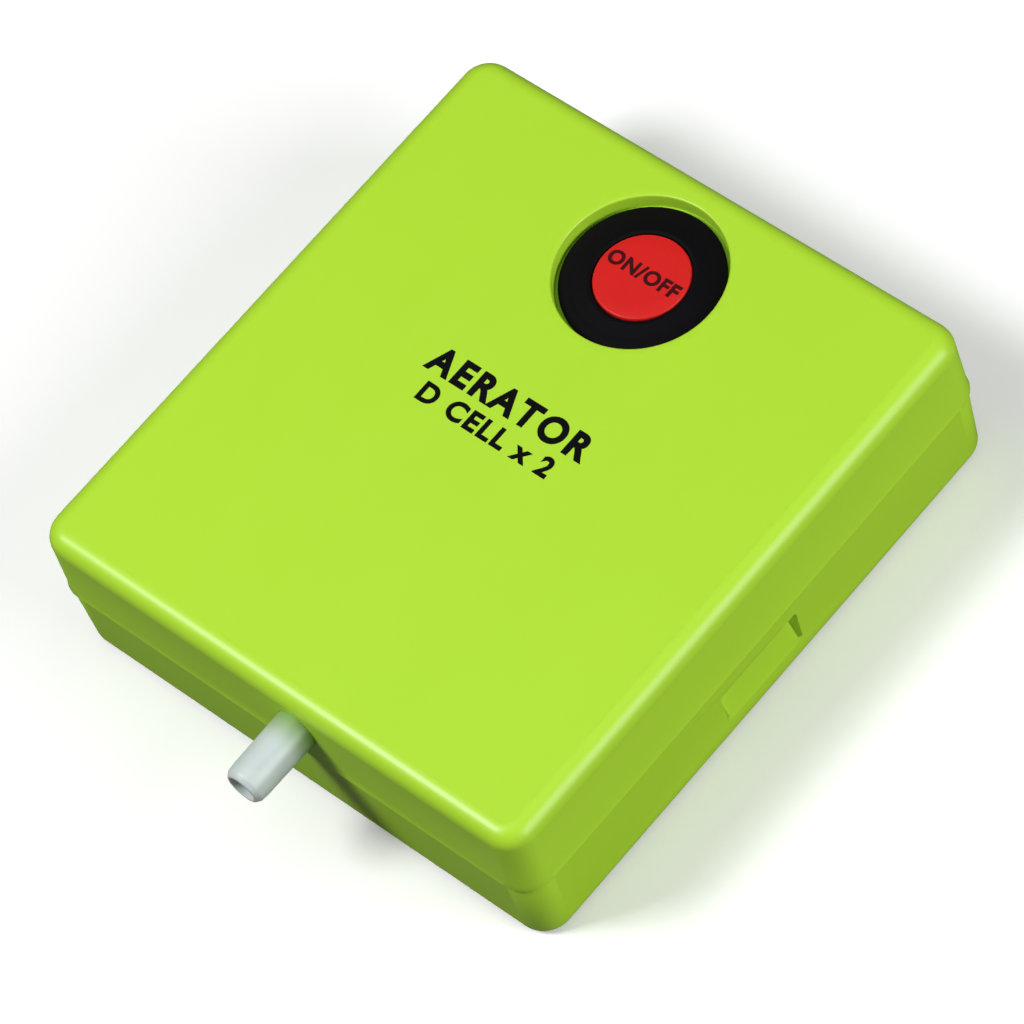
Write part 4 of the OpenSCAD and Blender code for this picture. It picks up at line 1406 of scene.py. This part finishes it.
@dataclass
class Springs:
    """The button's return spring, and the contact plates of which one carries a cone spring."""
    wire_r: float = 0.4 * MM
    turns: int = 5
    contact_wire_r: float = 0.45 * MM
    contact_wide_r: float = 7.5 * MM
    contact_narrow_r: float = 4.5 * MM
    contact_turns: int = 4
    plate_t: float = 0.5 * MM
    plate_soft: float = 0.12 * MM

    def build(self) -> None:
        """Winds the springs and shapes the plates."""
        low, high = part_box("return_spring")
        centre = Vector((*middle_of("return_spring").xy, low.z + self.wire_r))
        r = (high.x - low.x) / 2 - self.wire_r
        bm = bmesh.new()
        Coil(centre, Axis.Z, r, r, high.z - low.z - 2 * self.wire_r, self.wire_r,
             self.turns).build(bm)
        travel = next(j for j in frame["joints"] if j["name"] == "button_press")["range_m"][1]
        spring = finish_piece("button_spring", bm, Body.CASE, ["return_spring"], STEEL, 60.0)
        1 - travel / (high.z - low.z)
        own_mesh(spring)
        self.contacts()

    def contacts(self) -> None:
        """Shapes the two plates alike and winds the cone spring on the front one."""
        for node in ("positive_contact", "negative_contact"):
            bm = merged("positive_contact")
            low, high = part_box(node)
            back = low.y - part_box("positive_contact")[0].y
            bmesh.ops.translate(bm, vec=(0, back, 0), verts=bm.verts)
            edges = [e for e in bm.edges if e.calc_face_angle(0.0) > TRUE_EDGE]
            round_edges(bm, edges, self.plate_soft, 2)
            if node == "negative_contact":
                start = middle_of("front_cell")
                start.y = low.y + self.plate_t + self.contact_wire_r
                Coil(start, Axis.Y, self.contact_wide_r, self.contact_narrow_r,
                     high.y - start.y - self.contact_wire_r, self.contact_wire_r,
                     self.contact_turns).build(bm)
            finish_piece(node + "_plate", bm, Body.CASE, [node], STEEL, 60.0)


@dataclass
class Screws:
    """The self-tapping screws of one group, each with a thread and a cross recess in its head."""
    node: str
    along: Vector
    head_t: float = 1.5 * MM
    shank_r: float = 0.9 * MM
    thread: float = 0.75 * MM
    thread_root: float = 0.8
    mouth: float = 0.62
    cross_arm: float = 0.225 * MM
    cross_depth: float = 0.8 * MM

    def build(self) -> None:
        """Makes every screw of the group in one piece."""
        bm = bmesh.new()
        for low, high in screw_boxes(self.node):
            span = high - low
            length = max(abs(span.dot(self.along)), TINY)
            head_r = min(abs(span[i]) for i in range(3) if abs(self.along[i]) < 0.5) / 2
            centre = (low + high) / 2 - self.along * (length / 2)
            self.one(bm, centre, length, head_r)
        finish_piece(self.node + "_set", bm, Body.CASE, [self.node], ZINC)

    def one(self, bm: bmesh.types.BMesh, seat: Vector, length: float, head_r: float) -> None:
        """Turns one screw and stands it in its place.

        Args:
            bm: Mesh that it is added to.
            seat: Centre of the head's outer face.
            length: Whole length of the screw.
            head_r: Radius of the head.
        """
        part = bmesh.new()
        root_r = self.shank_r * self.thread_root
        outline = [Corner(self.mouth * head_r, 0), Corner(head_r * 0.75, 0, 0.1 * MM),
                   Corner(head_r, self.head_t * 0.6, 0.25 * MM),
                   Corner(head_r, self.head_t, 0.08 * MM), Corner(root_r, self.head_t)]
        turns = int((length - self.head_t - 1 * MM) / self.thread)
        for i in range(turns):
            start = self.head_t + self.thread * (i + 0.5)
            outline += [Corner(root_r, start), Corner(self.shank_r, start + self.thread * 0.4)]
        outline += [Corner(root_r, self.head_t + self.thread * (turns + 0.5)), Corner(0, length)]
        turn(part, outline, Axis.Z, Vector(), 24, closed=False)
        self.cut_cross(part, head_r * self.mouth)
        bmesh.ops.transform(part, verts=part.verts, matrix=Matrix.Translation(seat) @
                            Vector((0, 0, 1)).rotation_difference(self.along).to_matrix().to_4x4())
        join_into(bm, part)

    def cut_cross(self, part: bmesh.types.BMesh, reach: float) -> None:
        """Closes the head's open middle with a face and sinks a cross into it.

        Args:
            part: The screw, with its head's face at height 0.
            reach: Radius of the head's open middle.
        """
        rim = [e for e in part.edges if e.is_boundary]
        arm = self.cross_arm
        grid = bmesh.ops.create_grid(part, x_segments=3, y_segments=3, size=reach * 0.62)["verts"]
        for v in grid:
            v.co = Vector([math.copysign(arm, c) if abs(c) < reach * 0.4 else c for c in v.co.xy]
                          + [0.0])
        faces = list({f for v in grid for f in v.link_faces})
        cross = [f for f in faces if min(abs(c) for c in f.calc_center_median().xy) < arm / 2]
        corners = [f for f in faces if f not in cross]
        bmesh.ops.delete(part, geom=corners, context="FACES")
        known = {v for v in grid if v.is_valid}
        outline = [e for e in part.edges if set(e.verts) <= known and e.is_boundary]
        bmesh.ops.triangle_fill(part, use_beauty=True, use_dissolve=False, edges=rim + outline,
                                normal=(0, 0, -1))
        sunk = bmesh.ops.extrude_face_region(part, geom=cross)["geom"]
        verts = [g for g in sunk if isinstance(g, bmesh.types.BMVert)]
        bmesh.ops.delete(part, geom=[f for f in cross if f.is_valid], context="FACES_ONLY")
        bmesh.ops.translate(part, vec=(0, 0, min(self.cross_depth, self.head_t * 0.7)), verts=verts)
        bmesh.ops.scale(part, vec=(0.75, 0.75, 1), verts=verts)
        bmesh.ops.recalc_face_normals(part, faces=part.faces)


# ---------------------------------------------------------------- inside


def merged(node: str) -> bmesh.types.BMesh:
    """A copy of a CAD node's mesh, with its loose triangles joined.

    Args:
        node: The node's name.

    Returns:
        The new mesh.
    """
    bm = bmesh.new()
    bm.from_mesh(frame["nodes"][node].data)
    bmesh.ops.remove_doubles(bm, verts=bm.verts, dist=TINY / 10)
    bmesh.ops.dissolve_limit(bm, angle_limit=math.radians(0.5), use_dissolve_boundaries=False,
                             verts=bm.verts, edges=bm.edges)
    return bm


def body_of(node: str) -> Body:
    """The body that a CAD node moves with."""
    bodies = frame["record"]["behaviour"]["bodies"]
    return next(Body(body) for body, nodes in bodies.items() if node in nodes)


@dataclass
class Inside:
    """The inner pieces that keep the shape of their CAD solids: blocks, whose edges are softened,
    and tubes, which are smoothed all over."""
    soft: float = 0.12 * MM
    soft_above: float = math.radians(35)
    blocks: dict[str, Finish] = field(default_factory=lambda: {
        "chassis": GREY_PLASTIC, "switch_body": GREY_PLASTIC, "button_stem": GREY_PLASTIC,
        "pump_frame": GREY_PLASTIC, "pump_head": GREY_PLASTIC, "motor_end_cap": GREY_PLASTIC,
        "valve_plate": PALE_PLASTIC, "crank_wheel": PALE_PLASTIC, "connecting_rod": PALE_PLASTIC,
        "diaphragm": BLACK_RUBBER, "inlet_flap": BLACK_RUBBER, "outlet_flap": BLACK_RUBBER,
        "motor_sleeve": BLACK_RUBBER, "motor_can": STEEL, "motor_strap": STEEL, "motor_shaft": STEEL,
        "switch_terminals": BRASS, "motor_terminals": BRASS, "commutator": BRASS, "rod_bush": BRASS,
        "motor_magnets": FERRITE, "armature": COPPER, "inlet_filter": FELT})
    tubes: dict[str, Finish] = field(default_factory=lambda: {
        "red_wire": RED_WIRE, "black_wire": BLACK_WIRE, "switch_wire": BLUE_WIRE,
        "outlet_hose": CLEAR_VINYL})

    def build(self) -> None:
        """Softens the blocks' edges and rounds the tubes."""
        for node, finish in self.blocks.items():
            piece = finish_piece(node + "_part", merged(node), body_of(node), [node], finish, 30.0)
            bevel = piece.modifiers.new("soft_edges", "BEVEL")
            bevel.width = self.soft
            bevel.segments = 2
            bevel.limit_method = "ANGLE"
            bevel.angle_limit = self.soft_above
            bevel.use_clamp_overlap = True
        for node, finish in self.tubes.items():
            bm = bmesh.new()
            bm.from_mesh(frame["nodes"][node].data)
            bmesh.ops.remove_doubles(bm, verts=bm.verts, dist=TINY / 10)
            bmesh.ops.join_triangles(bm, faces=bm.faces, angle_face_threshold=ANY_ANGLE,
                                     angle_shape_threshold=ANY_ANGLE)
            piece = finish_piece(node + "_run", bm, body_of(node), [node], finish, 180.0)
            smooth = piece.modifiers.new("round", "SUBSURF")
            smooth.levels = smooth.render_levels = 1


# ---------------------------------------------------------------- studio


@dataclass
class Studio:
    """Pale floor, soft light and the camera."""
    target: Vector = field(default_factory=lambda: Vector((3.65, -5.28, 19.75)) * MM)
    distance: float = 1208.6 * MM
    azimuth: float = math.radians(59.03)
    elevation: float = math.radians(56.30)
    roll: float = math.radians(-21.68)
    lens: float = 213.2
    sensor: float = 36.0
    room: float = 0.07
    lamps: tuple[tuple[str, tuple[float, float, float], float, float], ...] = (
        ("over", (0.0, 0.0, 1.3), 0.9, 1.7),
        ("right", (1.1, 0.3, 0.6), 0.85, 11.8),
        ("key", (-0.5, -0.6, 1.05), 0.4, 11.8))

    def build(self) -> None:
        """Sets up the floor, the lights and the camera."""
        self.floor()
        self.camera()
        self.lights()
        self.sky()
        bpy.context.scene.view_settings.view_transform = "Standard"

    def floor(self) -> None:
        """A wide pale floor under the case."""
        bm = bmesh.new()
        bmesh.ops.create_grid(bm, x_segments=1, y_segments=1, size=3.0)
        bmesh.ops.translate(bm, vec=(0, 0, -TINY), verts=bm.verts)
        mesh = bpy.data.meshes.new("floor")
        bm.to_mesh(mesh)
        bm.free()
        floor = bpy.data.objects.new("floor", mesh)
        bpy.context.scene.collection.objects.link(floor)
        paint = Paint("pale_floor")
        seen = Value(paint, paint.add("ShaderNodeLightPath").outputs["Is Camera Ray"])
        paint.set(Base_Color=paint.mix(seen, (0.12, 0.12, 0.12), (0.97, 0.97, 0.97)), Roughness=0.9,
                  Specular_IOR_Level=0.0, Emission_Strength=1.0,
                  Emission_Color=paint.mix(seen, (0.0, 0.0, 0.0), (0.14, 0.14, 0.14)))
        mesh.materials.append(paint.material)

    def camera(self) -> None:
        """The camera, turned round its line of sight by the roll."""
        level_share = math.cos(self.elevation)
        back = Vector((math.sin(self.azimuth) * level_share, -math.cos(self.azimuth) * level_share,
                       math.sin(self.elevation)))
        right = Vector((math.cos(self.azimuth), math.sin(self.azimuth), 0))
        level = Matrix((right, back.cross(right), back)).transposed().to_4x4()
        data = bpy.data.cameras.new("camera")
        data.lens = self.lens
        data.sensor_width = self.sensor
        data.clip_end = 20.0
        camera = bpy.data.objects.new("camera", data)
        bpy.context.scene.collection.objects.link(camera)
        camera.matrix_world = Matrix.Translation(self.target + back * self.distance) @ level @ \
            Matrix.Rotation(self.roll, 4, "Z")
        bpy.context.scene.camera = camera

    def lights(self) -> None:
        """Soft boxes over the case and beside it."""
        for name, place, size, power in self.lamps:
            data = bpy.data.lights.new(name, "AREA")
            data.size = size
            data.energy = power
            lamp = bpy.data.objects.new(name, data)
            bpy.context.scene.collection.objects.link(lamp)
            lamp.matrix_world = Matrix.Translation(place) @ \
                (self.target - Vector(place)).to_track_quat("-Z", "Y").to_matrix().to_4x4()

    def sky(self) -> None:
        """A soft white room."""
        world = bpy.data.worlds.new("room")
        world.use_nodes = True
        background = world.node_tree.nodes["Background"]
        background.inputs["Color"].default_value = (1.0, 1.0, 1.0, 1.0)
        background.inputs["Strength"].default_value = self.room
        bpy.context.scene.world = world


def main() -> None:
    """Builds the object's pieces in order, and the studio round them."""
    logging.basicConfig(level=logging.INFO, format="%(name)s: %(message)s", stream=sys.stdout)
    Studio().build()
    UpperShell().build()
    LowerCover().build()
    Button().build()
    Outlet().build()
    Title().build()
    for node in ("front_cell", "rear_cell"):
        Cell(node).build()
    Springs().build()
    up, left = Vector((0, 0, 1)), Vector((-1, 0, 0))
    Screws("chassis_screws", up, head_t=0.6 * MM).build()
    for node in ("switch_screws", "frame_screws", "strap_screws"):
        Screws(node, up).build()
    Screws("head_screws", left).build()
    Inside().build()


if __name__ == "__main__":
    main()
